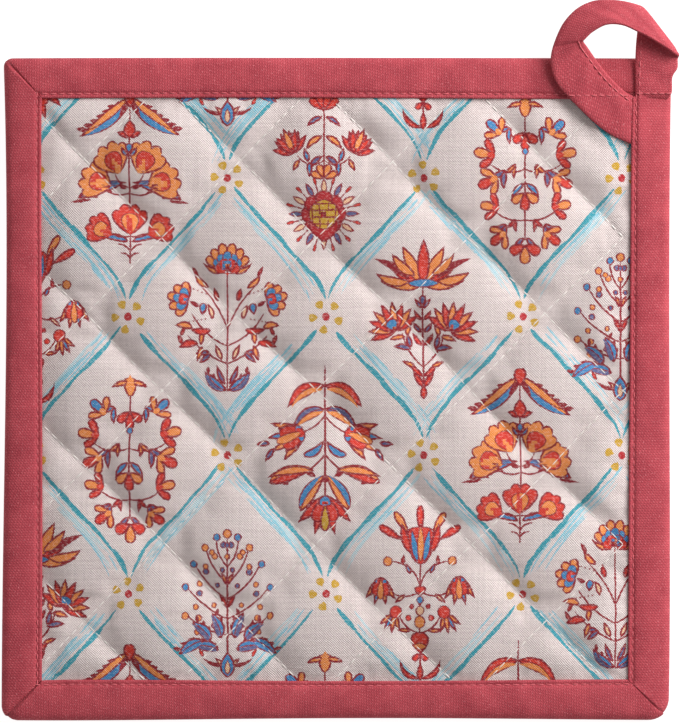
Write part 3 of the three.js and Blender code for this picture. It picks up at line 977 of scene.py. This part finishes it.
# %% Stuff the pad
def closed_pad(front, back):
    """The points and faces of both cloths and the strip that joins them at the edge."""
    rows, columns = front.shape[:2]
    top = grid_faces(rows, columns)
    bottom = top[:, ::-1] + rows * columns
    index = np.arange(rows * columns).reshape(rows, columns)
    edge = np.concatenate([index[0], index[1:, -1], index[-1, -2::-1], index[-2:0:-1, 0]])
    after = np.roll(edge, -1)
    under = rows * columns
    strip = np.stack([edge + under, after + under, after, edge], axis=-1)
    points = np.concatenate([front.reshape(-1, 3), back.reshape(-1, 3)])
    return points, np.concatenate([top, bottom, strip])


FRAMES = 20
MOST_MOVED = 1.6
SIMULATED_SCALE = 10.0
CLOTH = {
    "quality": 5,
    "mass": 0.15,
    "tension_stiffness": 15,
    "compression_stiffness": 15,
    "shear_stiffness": 5,
    "bending_stiffness": 0.05,
    "use_pressure": True,
    "uniform_pressure_force": 4.0,
    "shrink_min": -0.035,
    "vertex_group_mass": "sewn",
}


def stuffed(front, back):
    """Runs the cloth simulation, at ten times the size, and gives both cloths back. No point has
    moved by more than MOST_MOVED millimetres."""
    points, faces = closed_pad(front, back)
    mesh = bpy.data.meshes.new("stuffing")
    mesh.from_pydata((points * MM * SIMULATED_SCALE).tolist(), [], faces.tolist())
    shape = bpy.data.objects.new("stuffing", mesh)
    bpy.context.scene.collection.objects.link(shape)
    x, y = points[:, 0], points[:, 1]
    sewn = (fullness(x, y) < 1e-3) | (inside_tape(x, y) < 0.5)
    group = shape.vertex_groups.new(name="sewn")
    group.add(np.flatnonzero(sewn).tolist(), 1.0, "REPLACE")
    cloth = shape.modifiers.new("cloth", "CLOTH")
    for name, value in CLOTH.items():
        setattr(cloth.settings, name, value)
    cloth.settings.effector_weights.gravity = 0.0
    cloth.collision_settings.use_collision = False
    cloth.point_cache.frame_end = FRAMES
    for number in range(1, FRAMES + 1):
        bpy.context.scene.frame_set(number)
    evaluated = shape.evaluated_get(bpy.context.evaluated_depsgraph_get())
    moved = np.empty(len(points) * 3, np.float32)
    evaluated.data.vertices.foreach_get("co", moved)
    bpy.data.objects.remove(shape)
    bpy.context.scene.frame_set(1)
    step = moved.reshape(-1, 3) / (MM * SIMULATED_SCALE) - points
    size = np.linalg.norm(step, axis=1, keepdims=True)
    print("moved by up to", size.max().round(2), "mm, and by", size.mean().round(3), "on average")
    step *= MOST_MOVED * np.tanh(size / MOST_MOVED) / np.maximum(size, 1e-6)
    points = points + step
    count = front.shape[0] * front.shape[1]
    return points[:count].reshape(front.shape), points[count:].reshape(front.shape)


front, back = stuffed(front, back)

# %% Round the cloth off and lay it down
def refined(grid, axis):
    """Halves the spacing of a grid along one axis by the rule of a cubic curve: a point moves
    towards its neighbours, and a new one stands in the middle of each pair."""
    grid = np.moveaxis(grid, axis, 0)
    kept = grid.copy()
    kept[1:-1] = (grid[:-2] + 6 * grid[1:-1] + grid[2:]) / 8
    middle = (grid[:-1] + grid[1:]) / 2
    finer = np.empty((2 * len(grid) - 1, *grid.shape[1:]))
    finer[0::2] = kept
    finer[1::2] = middle
    return np.moveaxis(finer, 0, axis)


def strayed(x, y):
    """How far hand-guided stitching strays from straight, fading out towards the tape."""
    free = smooth_step(0, 25, inside_tape(x, y))
    dx = 0.55 * np.sin(x / 17 + y / 29) + 0.35 * np.sin(y / 11 - x / 23 + 1)
    dy = 0.5 * np.sin(y / 19 - x / 31 + 2) + 0.35 * np.sin(x / 13 + y / 37)
    return np.dstack([dx * free, dy * free])


GROOVE = {"depth": 0.42, "half_width": 0.9}
TUCK = {"depth": 0.13, "apart": 6.1, "reach": 4.5}


def pulled_in(x, y):
    """How deep the thread draws the cloth in: a narrow groove on each stitch line, and low tucks
    that start at the line, at uneven steps along it, and fade out a few millimetres away."""
    free = smooth_step(0, 4, inside_tape(x, y)) * clear_of_loop(x, y)
    depth = np.zeros_like(x)
    spacing = PITCH / np.sqrt(2)
    for way, strength in ((1, 1.0), (-1, 0.55)):
        across = ((x - CROSSING[0]) + way * (y - CROSSING[1])) / np.sqrt(2)
        along = ((x - CROSSING[0]) - way * (y - CROSSING[1])) / np.sqrt(2)
        away = np.abs((across + spacing / 2) % spacing - spacing / 2)
        uneven = along + 1.4 * np.sin(along / 5.1 + across / 9) + 1.1 * np.sin(along / 2.9 - across / 14)
        wave = np.sin(2 * np.pi * uneven / TUCK["apart"])
        tucks = TUCK["depth"] * wave * np.exp(-away / TUCK["reach"])
        groove = GROOVE["depth"] * np.exp(-((away / GROOVE["half_width"]) ** 2))
        depth += strength * (groove + tucks)
    return depth * free


front = refined(refined(front, 0), 1)
back = refined(refined(back, 0), 1)
flat_grid = refined(refined(np.dstack([GRID_X, GRID_Y]), 0), 1)
front[..., 2] -= pulled_in(flat_grid[..., 0], flat_grid[..., 1])
back[..., 2] += 0.5 * pulled_in(flat_grid[..., 0], flat_grid[..., 1])
drift = strayed(flat_grid[..., 0], flat_grid[..., 1])
front[..., :2] += drift
back[..., :2] += drift
FLAT = flat_grid + drift
back[..., 2] = np.maximum(back[..., 2], -BACK_FLAT)
points, faces = closed_pad(front, back)
face_count = (front.shape[0] - 1) * (front.shape[1] - 1)
print("front from", front[..., 2].min().round(2), "to", front[..., 2].max().round(2))

# %% Make the pad
flat_points = np.concatenate([FLAT.reshape(-1, 2)] * 2)
finish_of_face = (np.arange(len(faces)) >= face_count).astype(int)
pad = make_piece("quilted_cloth", points, faces, [PRINTED_CANVAS, PLAIN_CANVAS], finish_of_face, flat_points)
add_print(pad, flat_points[faces[:face_count]])
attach(pad, BODY)
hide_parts("quilted_pad")

# %% [markdown]
# ## Stitches
#
# A machine stitch is a short piece of thread that comes up through the cloth, lies on it in a
# flat arch, and goes down again. Hundreds of them need a cheap shape: a tube of five sides and
# five rings. All of a row's stitches are worked out together, as one array.

# %% A row of stitches
def on_cloth(cloth, x, y):
    """Where a place on the flat cloth lies on the finished pad, blended from the grid round it."""
    lines_x = flat_grid[0, :, 0]
    lines_y = flat_grid[:, 0, 1]
    i = np.interp(x, lines_x, np.arange(len(lines_x)))
    j = np.interp(y, lines_y, np.arange(len(lines_y)))
    i0 = np.minimum(i.astype(int), len(lines_x) - 2)
    j0 = np.minimum(j.astype(int), len(lines_y) - 2)
    u = (i - i0)[..., None]
    v = (j - j0)[..., None]
    lower = cloth[j0, i0] * (1 - u) + cloth[j0, i0 + 1] * u
    upper = cloth[j0 + 1, i0] * (1 - u) + cloth[j0 + 1, i0 + 1] * u
    return lower * (1 - v) + upper * v


RING = 5
ALONG = np.array([-0.5, -0.34, 0.0, 0.34, 0.5])
ARCH = {"top": 0.55, "fall": 2.8}


def stitch_tubes(middles, directions, normals, length, thickness):
    """Tubes whose spine is an arch: its height is one minus the square of the way from the middle,
    and whose thickness closes at both ends as an ellipse does."""
    lengths = length * np.ones(len(middles))
    sides = np.cross(normals, directions)
    spine = middles[:, None] + directions[:, None] * (ALONG[:, None] * lengths[:, None, None])
    arch = thickness * (ARCH["top"] - ARCH["fall"] * ALONG**2)
    spine = spine + normals[:, None] * arch[:, None]
    radius = thickness / 2 * np.sqrt(np.clip(1.06 - (2 * ALONG) ** 2, 0.02, 1))
    turn = np.linspace(0, 2 * np.pi, RING, endpoint=False)
    around = (
        sides[:, None, None] * np.cos(turn)[:, None]
        + normals[:, None, None] * np.sin(turn)[:, None]
    )
    points = spine[:, :, None] + around * radius[:, None, None]
    one = grid_faces(len(ALONG), RING, closed_columns=True)
    caps = [list(range(RING))[::-1], list(range((len(ALONG) - 1) * RING, len(ALONG) * RING))]
    each = len(ALONG) * RING
    faces = (one[None] + each * np.arange(len(middles))[:, None, None]).reshape(-1, 4).tolist()
    for number in range(len(middles)):
        faces += [[corner + each * number for corner in cap] for cap in caps]
    return points.reshape(-1, 3), faces


def unit(vectors):
    """The vectors, each made one long."""
    return vectors / np.linalg.norm(vectors, axis=-1, keepdims=True)

# %% Threads
def thread(name, colour):
    """A twisted cotton thread, from a fine noise that darkens it and roughens its surface."""
    finish = Finish(name, roughness=0.6, specular=0.35)
    vector = finish.node("ShaderNodeTexCoord", None, None, output="Object")
    twist = finish.noise(finish.stretched(vector, (1000.0, 1000.0, 1000.0)), 2.2, detail=3.0)
    shade = finish.mix(twist, tuple(part * 0.82 for part in colour[:3]) + (1.0,), colour)
    return finish.finished(shade, twist, 0.06)


WHITE_THREAD = thread("white_thread", linear(240, 234, 228))
RED_THREAD = thread("red_thread", linear(214, 104, 112))

# %% Quilt the pad
STITCH_PITCH = 3.0
QUILTING = {"shortest": 2.4, "longer_by": 0.3, "thickness": 0.36, "sunk": 0.05}


def quilting_places():
    """Evenly spaced places along every diagonal line of the quilting, inside the tape."""
    found = []
    for direction in (1, -1):
        for number in range(-5, 6):
            way = np.arange(-170, 170, STITCH_PITCH) + (number * 1.3) % STITCH_PITCH
            x = CROSSING[0] + number * PITCH / 2 + way / np.sqrt(2)
            y = CROSSING[1] - direction * number * PITCH / 2 + direction * way / np.sqrt(2)
            keep = inside_tape(x, y) > 1.0
            found.append(np.stack([x[keep], y[keep], np.full(keep.sum(), direction)], axis=-1))
    return np.concatenate(found)


places = quilting_places()
x, y, way = places.T
ahead = np.sqrt(0.5) * np.stack([np.ones_like(way), way], axis=-1)
both_sides = []
for cloth, facing in ((front, 1.0), (back, -1.0)):
    before = on_cloth(cloth, x - ahead[:, 0], y - ahead[:, 1])
    after = on_cloth(cloth, x + ahead[:, 0], y + ahead[:, 1])
    directions = unit(after - before)
    normals = unit(np.cross(directions, np.cross(np.array([0.0, 0.0, facing]), directions)))
    both_sides.append((on_cloth(cloth, x, y) - normals * QUILTING["sunk"], directions, normals))
middles, directions, normals = (np.concatenate(parts) for parts in zip(*both_sides))
lengths = QUILTING["shortest"] + QUILTING["longer_by"] * rng.random(len(middles))
points, faces = stitch_tubes(middles, directions, normals, lengths, QUILTING["thickness"])
quilting = make_piece("quilting_thread", points, faces, [WHITE_THREAD])
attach(quilting, BODY)

# %% [markdown]
# ## The tape
#
# The edge is bound with a cotton tape, folded lengthwise over the pad and sewn down through
# everything, one row of stitches close to its inner edge. Its section is the same all the way
# round: a rounded outer edge, a low crown, a groove under the stitches and a thin lip. At a corner
# the tape is folded on the slant, so the section fans round and dips where the fold lies.

# %% The tape's finish
RIB_PITCH = 0.78
THREAD_PITCH = 0.9
TAPE_RELIEF = 0.16


def tape_finish():
    """Ribs across the tape and finer threads along it, rose red, with painted shade between them and lighter
    specks.
    """
    finish = Finish("rose_tape", roughness=0.8, specular=0.25)
    vector, along, across = finish.flat_cloth()
    wobble = finish.noise(vector, 0.5) * 0.5
    ribs = finish.sine((along + wobble) * (2 * np.pi / RIB_PITCH))
    threads = finish.sine((across + wobble + along * 0.3) * (2 * np.pi / THREAD_PITCH))
    cloth = ribs * threads * 0.5 + ribs * 0.3 + threads * 0.2
    patch = finish.noise(vector, 0.14, detail=6.0, rough=0.62)
    colour = finish.mix(finish.fade(patch, 0.25, 0.75), linear(160, 58, 68), linear(200, 84, 93))
    # Painted shade: a darker red where the weave is low, in the hollows between the ribs and threads.
    colour = finish.mix(finish.fade(cloth, 0.3, -0.9) * 0.62, colour, linear(122, 30, 46))
    specks = finish.noise(finish.stretched(vector, (1.6, 2.6, 1.0)), 1.0, detail=1.0)
    colour = finish.mix(finish.fade(specks, 0.6, 0.78) * 0.5, colour, linear(236, 150, 156))
    return finish.finished(colour, cloth * 0.5 + specks * 0.4, TAPE_RELIEF, strength=0.9)


ROSE_TAPE = tape_finish()

# %% The tape's way round the pad
SLOT_HALF = 1.12
SLOT_DEPTH = 3.2
LIP_IN = 1.4
LIP_RAISE = 1.35
RAISED_FROM = (68.0, 78.0)
LOWEST = 2.8
TAPE_STITCH = 2.6
EDGE_ROUND = 1.9
DOME = {"top": 2.72, "drop": 1.15, "middle": 7.2}
SEWN_GROOVE = {"depth": 0.5, "half_width": 0.5}
LIP = 0.4
FOLD = {"rise": 0.16, "rise_reach": 2.5, "dip": 0.45, "dip_reach": 0.42}
WAVE_SHIFT = 1.7
SIDES = [
    {"name": "bottom", "corner": (-1, -1), "along": (1, 0), "inward": (0, 1), "radii": (4.2, 6.5)},
    {"name": "right", "corner": (1, -1), "along": (0, 1), "inward": (-1, 0), "radii": (6.5, 2.5)},
    {"name": "top", "corner": (1, 1), "along": (-1, 0), "inward": (0, -1), "radii": (2.5, 2.7)},
    {"name": "left", "corner": (-1, 1), "along": (0, -1), "inward": (1, 0), "radii": (2.7, 4.2)},
]
OUTER_STRAY = {
    "bottom": (-0.15, 0.0, 0.45, 0.3, -0.1),
    "right": (0.45, 0.0, 0.15, 0.15, -0.45),
    "top": (0.1, -0.1, -0.15, -0.15, 0.0),
    "left": (-0.15, 0.75, 0.45, -0.3, -0.75),
}
INNER_STRAY = {
    "bottom": (0.0, 0.15, -0.15, 0.1, 0.3),
    "right": (0.3, 0.1, -0.2, -0.5, -1.0),
    "top": (0.0, 0.2, -0.1, -0.1, 0.1),
    "left": (0.1, -0.15, 0.1, 0.15, 0.0),
}


def neighbours(number):
    """The tape's width on the side before this one, on this one and on the one after."""
    return [TAPE_WIDTH[SIDES[(number + step) % 4]["name"]] for step in (-1, 0, 1)]


def side_length(side):
    """From one outer corner to the next, in millimetres."""
    return 2 * OUTSIDE[0 if side["along"][0] else 1]


def in_plane(side, along, depth):
    """The place that lies so far along a side from its first corner, and so far in from it."""
    corner = np.array(side["corner"]) * OUTSIDE
    return corner + along[..., None] * side["along"] + depth[..., None] * side["inward"]


def raise_of_lip(side, along):
    """How far the right side's lip is lifted where the loop goes in under it."""
    return (side["name"] == "right") * LIP_RAISE * smooth_step(*RAISED_FROM, along - OUTSIDE[1])


def tape_rails(side, before, width, after):
    """The outer and inner edge of one side's tape. Near a corner the outer edge follows the
    rounded corner, and the inner one starts a tape's width in, so that the sections fan out."""
    length = side_length(side)
    close = np.array([0.0, 0.15, 0.35, 0.6, 0.9, 1.3])

    def one_end(radius, neighbour):
        """The stations from a corner to the middle: close together at the fold, then even."""
        arc = radius * np.pi / 4
        half = np.concatenate([close, np.linspace(1.8, length / 2 - radius + arc, 76)])
        angle = np.clip(np.pi / 4 - half / radius, 0, None)
        out_along = np.where(half < arc, radius * (1 - np.sin(angle)), radius + half - arc)
        out_depth = np.where(half < arc, radius * (1 - np.cos(angle)), 0.0)
        fan = np.clip(1 - out_along / (2.2 * neighbour), 0, 1) ** 2
        return out_along, out_depth, out_along + neighbour * fan, half

    start = one_end(side["radii"][0], before)
    end = one_end(side["radii"][1], after)
    out_along = np.concatenate([start[0][:-1], length - end[0][::-1]])
    out_depth = np.concatenate([start[1][:-1], end[1][::-1]])
    in_along = np.concatenate([start[2][:-1], length - end[2][::-1]])
    from_fold = np.concatenate([start[3][:-1], end[3][::-1]])
    share = out_along / length
    out_depth = out_depth + through(OUTER_STRAY[side["name"]], share)
    in_depth = width + through(INNER_STRAY[side["name"]], share)
    return out_along, out_depth, in_along, in_depth, from_fold


def tape_top(depth, width, along, seed):
    """The height of the folded tape: a quarter ellipse at its outer edge, a dome over its width,
    a groove at the stitches, a rounded lip, and slow waves along it."""
    edge = np.sqrt(1 - (1 - np.clip(depth / EDGE_ROUND, 0, 1)) ** 2)
    crown = DOME["top"] - DOME["drop"] * np.abs(1 - depth / DOME["middle"]) ** 2.1
    sewn = (depth - width + LIP_IN) / SEWN_GROOVE["half_width"]
    groove = SEWN_GROOVE["depth"] * np.exp(-(sewn**2))
    groove = groove * (0.82 + 0.18 * np.cos(2 * np.pi * along / TAPE_STITCH))
    lip = np.clip((depth - width + LIP) / LIP, 0, 1)
    lip_drop = LIP * (1 - np.sqrt(1 - lip**2))
    waves = 0.09 * np.sin(along / 5.3 + seed) + 0.07 * np.sin(along / 2.1 + 2 * seed + depth / 3)
    return (crown + waves * np.clip(depth / 3, 0, 1)) * edge - groove - lip_drop


OUTER_DEPTHS = np.array([0, 0.06, 0.2, 0.45, 0.8, 1.25, 1.8, 2.5, 3.4, 4.5, 5.8, 7.2, 8.5])
INNER_DEPTHS = np.array([2.6, 2.2, 1.85, 1.6, 1.4, 1.2, 0.95, 0.7, 0.45, 0.28, 0.14, 0.04, 0.0])


def tape_sections():
    """Every section of the tape round the pad, its places on the flat tape, and its side."""
    points, flat = [], []
    for number, side in enumerate(SIDES):
        before, width, after = neighbours(number)
        out_along, out_depth, in_along, in_depth, from_fold = tape_rails(side, before, width, after)
        depths = np.concatenate([OUTER_DEPTHS, width - INNER_DEPTHS])
        share = depths / width
        along = out_along[:, None] + (in_along - out_along)[:, None] * share
        depth = out_depth[:, None] + (in_depth - out_depth)[:, None] * share
        first_half = np.arange(len(from_fold)) < len(from_fold) / 2
        lies_over = np.where(first_half, FOLD["rise"], -FOLD["rise"])
        dip = FOLD["dip"] * np.exp(-((from_fold / FOLD["dip_reach"]) ** 2))
        fold = lies_over * np.exp(-from_fold / FOLD["rise_reach"]) - dip
        fold = fold[:, None] * np.clip(depths / 2, 0, 1)
        height = tape_top(depths[None], width, along, number * WAVE_SHIFT) + fold
        raised = raise_of_lip(side, along)
        below = -np.minimum(height, LOWEST)
        height = height + raised * smooth_step(6, 11, depths)
        walls = np.array([(width, 1), (SLOT_DEPTH, 1), (SLOT_DEPTH, -1), (width, -1)])
        wall_share = walls[:, 0] / width
        wall_along = out_along[:, None] + (in_along - out_along)[:, None] * wall_share
        wall_depth = out_depth[:, None] + (in_depth - out_depth)[:, None] * wall_share
        wall_height = np.broadcast_to(walls[:, 1] * SLOT_HALF, wall_along.shape)
        all_along = np.hstack([along, wall_along, along[:, :0:-1]])
        all_depth = np.hstack([depth, wall_depth, depth[:, :0:-1]])
        all_height = np.hstack([height, wall_height, below[:, :0:-1]])
        points.append(np.dstack([in_plane(side, all_along, all_depth), all_height]))
        reach = np.hstack([depths, np.full(4, width), 2 * width - depths[:0:-1]])
        flat.append(np.dstack([all_along + 7 * number, np.broadcast_to(reach, all_along.shape)]))
    return np.concatenate(points), np.concatenate(flat)


sections, flat_tape = tape_sections()
faces = grid_faces(*sections.shape[:2], closed_rows=True, closed_columns=True)[:, ::-1]
points, flat_points = sections.reshape(-1, 3), flat_tape.reshape(-1, 2)
binding = make_piece("folded_tape", points, faces, [ROSE_TAPE], flat=flat_points)
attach(binding, BODY)
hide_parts("edge_binding")

# %% [markdown]
# ## The hanging loop
#
# The tape's end is folded double and makes the loop: it rises from the corner, rolls over towards
# the front, goes round to the left and comes down across the corner, where the side's tape holds
# it down. Two rails, the band's edges, carry its whole form, and the band is a flat, rounded
# section drawn between them at every step.

# %% Carry the band along its rails
LOOP_RAILS = [
    {"outer": (90.8, 88.0, 1.7), "inner": (100.4, 88.0, 1.7)},
    {"outer": (90.7, 90.2, 3.1), "inner": (101.9, 90.2, 2.9)},
    {"outer": (90.7, 95.8, 3.6), "inner": (102.1, 94.9, 3.4)},
    {"outer": (90.8, 101.3, 3.7), "inner": (103.6, 97.6, 3.6)},
    {"outer": (91.1, 106.5, 3.6), "inner": (103.7, 100.2, 3.9)},
    {"outer": (91.8, 112.0, 3.9), "inner": (103.9, 100.9, 4.4)},
    {"outer": (92.6, 115.8, 5.2), "inner": (103.9, 101.4, 6.0)},
    {"outer": (90.7, 117.0, 6.6), "inner": (102.2, 102.1, 7.8)},
    {"outer": (86.9, 117.9, 6.9), "inner": (97.8, 105.0, 9.1)},
    {"outer": (82.2, 118.3, 6.9), "inner": (92.5, 107.9, 10.0)},
    {"outer": (77.3, 117.8, 6.7), "inner": (87.0, 110.3, 10.3)},
    {"outer": (72.7, 115.5, 6.4), "inner": (82.1, 110.6, 10.0)},
    {"outer": (68.8, 111.3, 6.0), "inner": (77.9, 108.6, 9.2)},
    {"outer": (66.2, 105.8, 5.6), "inner": (75.2, 106.1, 8.1)},
    {"outer": (65.0, 101.0, 5.2), "inner": (74.9, 105.6, 7.2)},
    {"outer": (65.4, 96.4, 4.9), "inner": (75.3, 105.0, 6.5)},
    {"outer": (67.2, 92.4, 4.7), "inner": (76.1, 104.0, 5.9)},
    {"outer": (70.0, 89.1, 4.4), "inner": (77.5, 102.0, 5.3)},
    {"outer": (73.7, 85.4, 3.9), "inner": (79.8, 98.8, 4.7)},
    {"outer": (78.2, 81.1, 3.3), "inner": (82.8, 95.2, 4.3)},
    {"outer": (83.1, 77.5, 2.7), "inner": (86.2, 91.8, 3.7)},
    {"outer": (88.5, 75.0, 2.2), "inner": (88.5, 90.0, 3.0)},
    {"outer": (91.5, 74.0, 1.9), "inner": (91.5, 88.8, 2.4)},
]
LOOP_STEPS = 264
CREASE_STEP = 160
HALF_THICKNESS = 0.86
FLAT_WIDTH = 12


def rail(name):
    """A smooth curve through the rows of a rail: each piece is a cubic of its four nearest rows."""
    rows = np.array([row[name] for row in LOOP_RAILS])
    rows = np.vstack([2 * rows[0] - rows[1], rows, 2 * rows[-1] - rows[-2]])
    place = np.linspace(0, len(rows) - 3 - 1e-6, LOOP_STEPS)
    number = place.astype(int)
    t = (place - number)[:, None]
    a, b, c, d = (rows[number + step] for step in range(4))
    square = (2 * a - 5 * b + 4 * c - d) * t**2
    cube = (3 * b - a - 3 * c + d) * t**3
    return 0.5 * (2 * b + (c - a) * t + square + cube)


def band():
    """The band's section at each step, as wide as the rails are apart: two layers of tape with a
    round fold at each edge and a shallow groove inside the inner edge, where it is sewn shut."""
    outer, inner = rail("outer"), rail("inner")
    across = inner - outer
    width = np.linalg.norm(across, axis=1)
    onward = np.gradient((outer + inner) / 2, axis=0)
    up = unit(np.cross(across, onward))
    share = np.concatenate([[0, 0.01, 0.03, 0.06, 0.1, 0.16], np.linspace(0.24, 0.76, 9)])
    share = np.concatenate([share, 1 - share[5::-1]])
    edge = (1 - np.abs(2 * share - 1) ** 7) ** 0.5
    steps = np.arange(LOOP_STEPS)[:, None]
    thin = np.interp(steps[:, 0], [0, 14, LOOP_STEPS - 12, LOOP_STEPS - 1], [0.45, 1, 1, 0.7])
    half = HALF_THICKNESS * edge * thin[:, None]
    from_inner = (1 - share) * width[:, None]
    groove = 0.26 * np.exp(-(((from_inner - 1.4) / 0.45) ** 2))
    waves = 0.09 * np.sin(steps / 6.0 + share * 3) + 0.06 * np.sin(steps / 2.7 + share * 5)
    crease = 0.4 * np.exp(-(((steps - CREASE_STEP) / 2.5) ** 2)) * edge
    top = half - groove + waves * edge
    bottom = crease - half + groove + waves * edge
    middle = outer[:, None] + across[:, None] * share[None, :, None]
    upper = middle + up[:, None] * top[..., None]
    lower = middle[:, -2:0:-1] + up[:, None] * bottom[:, -2:0:-1, None]
    along = np.cumsum(np.linalg.norm(np.gradient((outer + inner) / 2, axis=0), axis=1))
    reach = np.concatenate([share * FLAT_WIDTH, (2 - share[-2:0:-1]) * FLAT_WIDTH])
    points = np.concatenate([upper, lower], axis=1)
    flat = np.dstack(np.broadcast_arrays(along[:, None], reach[None]))
    return points, flat, along, (outer, inner, up)


loop_points, loop_flat, loop_along, loop_rails = band()
rows, columns = loop_points.shape[:2]
faces = grid_faces(rows, columns, closed_columns=True)[:, ::-1].tolist()
faces += [list(range(columns)), list(range((rows - 1) * columns, rows * columns))[::-1]]
points, flat_points = loop_points.reshape(-1, 3), loop_flat.reshape(-1, 2)
loop = make_piece("loop_tape", points, faces, [ROSE_TAPE], flat=flat_points)
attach(loop, BODY)
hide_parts("hanging_loop")

# %% Sew the tape down
TAPE_THREAD = {"length": 2.1, "thickness": 0.42}
RISE_STEPS = (12, 66)
CROSSING_HEIGHT = 89.4
ON_BAND = 0.72


def binding_stitches():
    """Stitches in the tape's groove along all four sides, on the front and on the back."""
    middles, directions, normals = [], [], []
    for number, side in enumerate(SIDES):
        before, width, after = neighbours(number)
        length = side_length(side)
        along = np.arange(before - LIP_IN, length - after + LIP_IN, TAPE_STITCH)
        depth = width + through(INNER_STRAY[side["name"]], along / length) - LIP_IN
        height = tape_top(np.full(len(along), width - LIP_IN), width, along, number * WAVE_SHIFT)
        raised = raise_of_lip(side, along)
        plane = in_plane(side, along, depth)
        for face in (1, -1):
            middles.append(np.column_stack([plane, height + raised if face > 0 else -height]))
            directions.append(np.tile([*side["along"], 0.0], (len(along), 1)))
            normals.append(np.tile([0.0, 0.0, float(face)], (len(along), 1)))
    return np.concatenate(middles), np.concatenate(directions), np.concatenate(normals)


def on_band(step, share):
    """A place on the side of the band that faces up: the rolled fold turns the band over, so up
    there is the other side."""
    numbers = np.arange(LOOP_STEPS)
    outer, inner, up = (
        np.stack([np.interp(step, numbers, rows[:, axis]) for axis in range(3)], axis=-1)
        for rows in loop_rails
    )
    up = unit(up * np.sign(up[:, 2:]))
    return outer * (1 - share)[:, None] + inner * share[:, None] + up * ON_BAND, up


def loop_stitches():
    """One row near the free edge of the part that comes down, one near the left edge of the part
    that rises, and one straight across both, where the loop is sewn to the corner."""
    numbers = np.arange(LOOP_STEPS)
    first, last = loop_along[CREASE_STEP + 6], loop_along[-12]
    down = np.interp(np.arange(first, last, TAPE_STITCH), loop_along, numbers)
    first, last = (loop_along[step] for step in RISE_STEPS)
    rise = np.interp(np.arange(first, last, TAPE_STITCH), loop_along, numbers)
    rows = [on_band(down, np.full(len(down), 0.88)), on_band(rise, np.full(len(rise), 0.12))]
    share = np.linspace(0.08, 0.92, 8)
    low = slice(CREASE_STEP + 20, LOOP_STEPS)
    places = loop_rails[0][low, 1:2] * (1 - share) + loop_rails[1][low, 1:2] * share
    steps = [np.interp(-CROSSING_HEIGHT, -column, numbers[low]) for column in places.T]
    inside = np.array(steps) < LOOP_STEPS - 14
    rows.append(on_band(np.array(steps)[inside], share[inside]))
    rows.append(on_band(np.full(5, 12.0), np.linspace(0.12, 0.9, 5)))
    found = []
    for middles, up in rows:
        ahead = unit(np.gradient(middles, axis=0))
        found.append((middles, ahead, unit(up - ahead * (up * ahead).sum(1, keepdims=True))))
    return [np.concatenate(parts) for parts in zip(*found)]


stitch_rows = [np.concatenate(parts) for parts in zip(binding_stitches(), loop_stitches())]
points, faces = stitch_tubes(*stitch_rows, TAPE_THREAD["length"], TAPE_THREAD["thickness"])
tape_thread = make_piece("tape_thread", points, faces, [RED_THREAD])
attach(tape_thread, BODY)

# %% [markdown]
# ## Floor, light and camera
#
# The pot holder lies on a white surface under one large soft light from the upper right, which
# makes every quilting line that runs down to the right stand out, and hardly shows the others. A
# camera far above, with a long lens, sees it as flat as the photograph does.

# %% Stage and lights
FLOOR_HALF = 700.0
WHITE = (1.0, 1.0, 1.0, 1.0)


def floor():
    """A square sheet just under the pad. It glows a little, so that it stays white in the shade."""
    finish = Finish("white_floor", roughness=0.9, specular=0.0)
    finish.put(finish.surface.inputs["Base Color"], (0.3, 0.3, 0.3, 1.0))
    finish.put(finish.surface.inputs["Emission Color"], WHITE)
    finish.put(finish.surface.inputs["Emission Strength"], 0.9)
    corners = FLOOR_HALF * np.array([[-1, -1], [1, -1], [1, 1], [-1, 1]])
    low = np.column_stack([corners, np.full(4, -BACK_FLAT - 0.05)])
    return make_piece("floor", low, np.array([[0, 1, 2, 3]]), [finish.material])


def soft_light(name, azimuth, elevation, distance, size, watts):
    """A square lamp that looks at the pot holder from an angle over the floor."""
    lamp = bpy.data.lights.new(name, "AREA")
    lamp.size = size
    lamp.energy = watts
    holder = bpy.data.objects.new(name, lamp)
    turn, lift = np.radians([azimuth, elevation])
    aim = np.array([np.cos(lift) * np.cos(turn), np.cos(lift) * np.sin(turn), np.sin(lift)])
    holder.location = Vector(aim * distance)
    holder.rotation_euler = Vector(aim).to_track_quat("Z", "Y").to_euler()
    bpy.context.scene.collection.objects.link(holder)


floor()
soft_light("window", azimuth=36, elevation=33, distance=1.05, size=0.75, watts=16.6)
world = bpy.data.worlds.new("studio")
world.use_nodes = True
background = world.node_tree.nodes["Background"]
background.inputs["Color"].default_value = WHITE
background.inputs["Strength"].default_value = 0.37
bpy.context.scene.world = world
bpy.context.scene.view_settings.view_transform = "Standard"

# %% Camera
PHOTO = {"width": 679, "height": 723}
PAD_IN_PHOTO = {"x": 337.0, "y": 389.0}
MM_PER_PIXEL = 0.3048
CAMERA_HEIGHT = 2.2


def camera():
    """Straight above the photograph's middle, far enough away to see the sides as parallel."""
    lens = bpy.data.cameras.new("camera")
    shown = PHOTO["height"] * MM_PER_PIXEL * MM
    lens.sensor_fit = "VERTICAL"
    lens.sensor_height = 24.0
    lens.lens = lens.sensor_height * CAMERA_HEIGHT / shown
    holder = bpy.data.objects.new("camera", lens)
    across = (PHOTO["width"] / 2 - PAD_IN_PHOTO["x"]) * MM_PER_PIXEL
    up = (PAD_IN_PHOTO["y"] - PHOTO["height"] / 2) * MM_PER_PIXEL
    place = (MIDDLE + np.array([across, up, 0.0])) * MM
    holder.location = (place[0], place[1], CAMERA_HEIGHT + place[2])
    bpy.context.scene.collection.objects.link(holder)
    bpy.context.scene.camera = holder


camera()
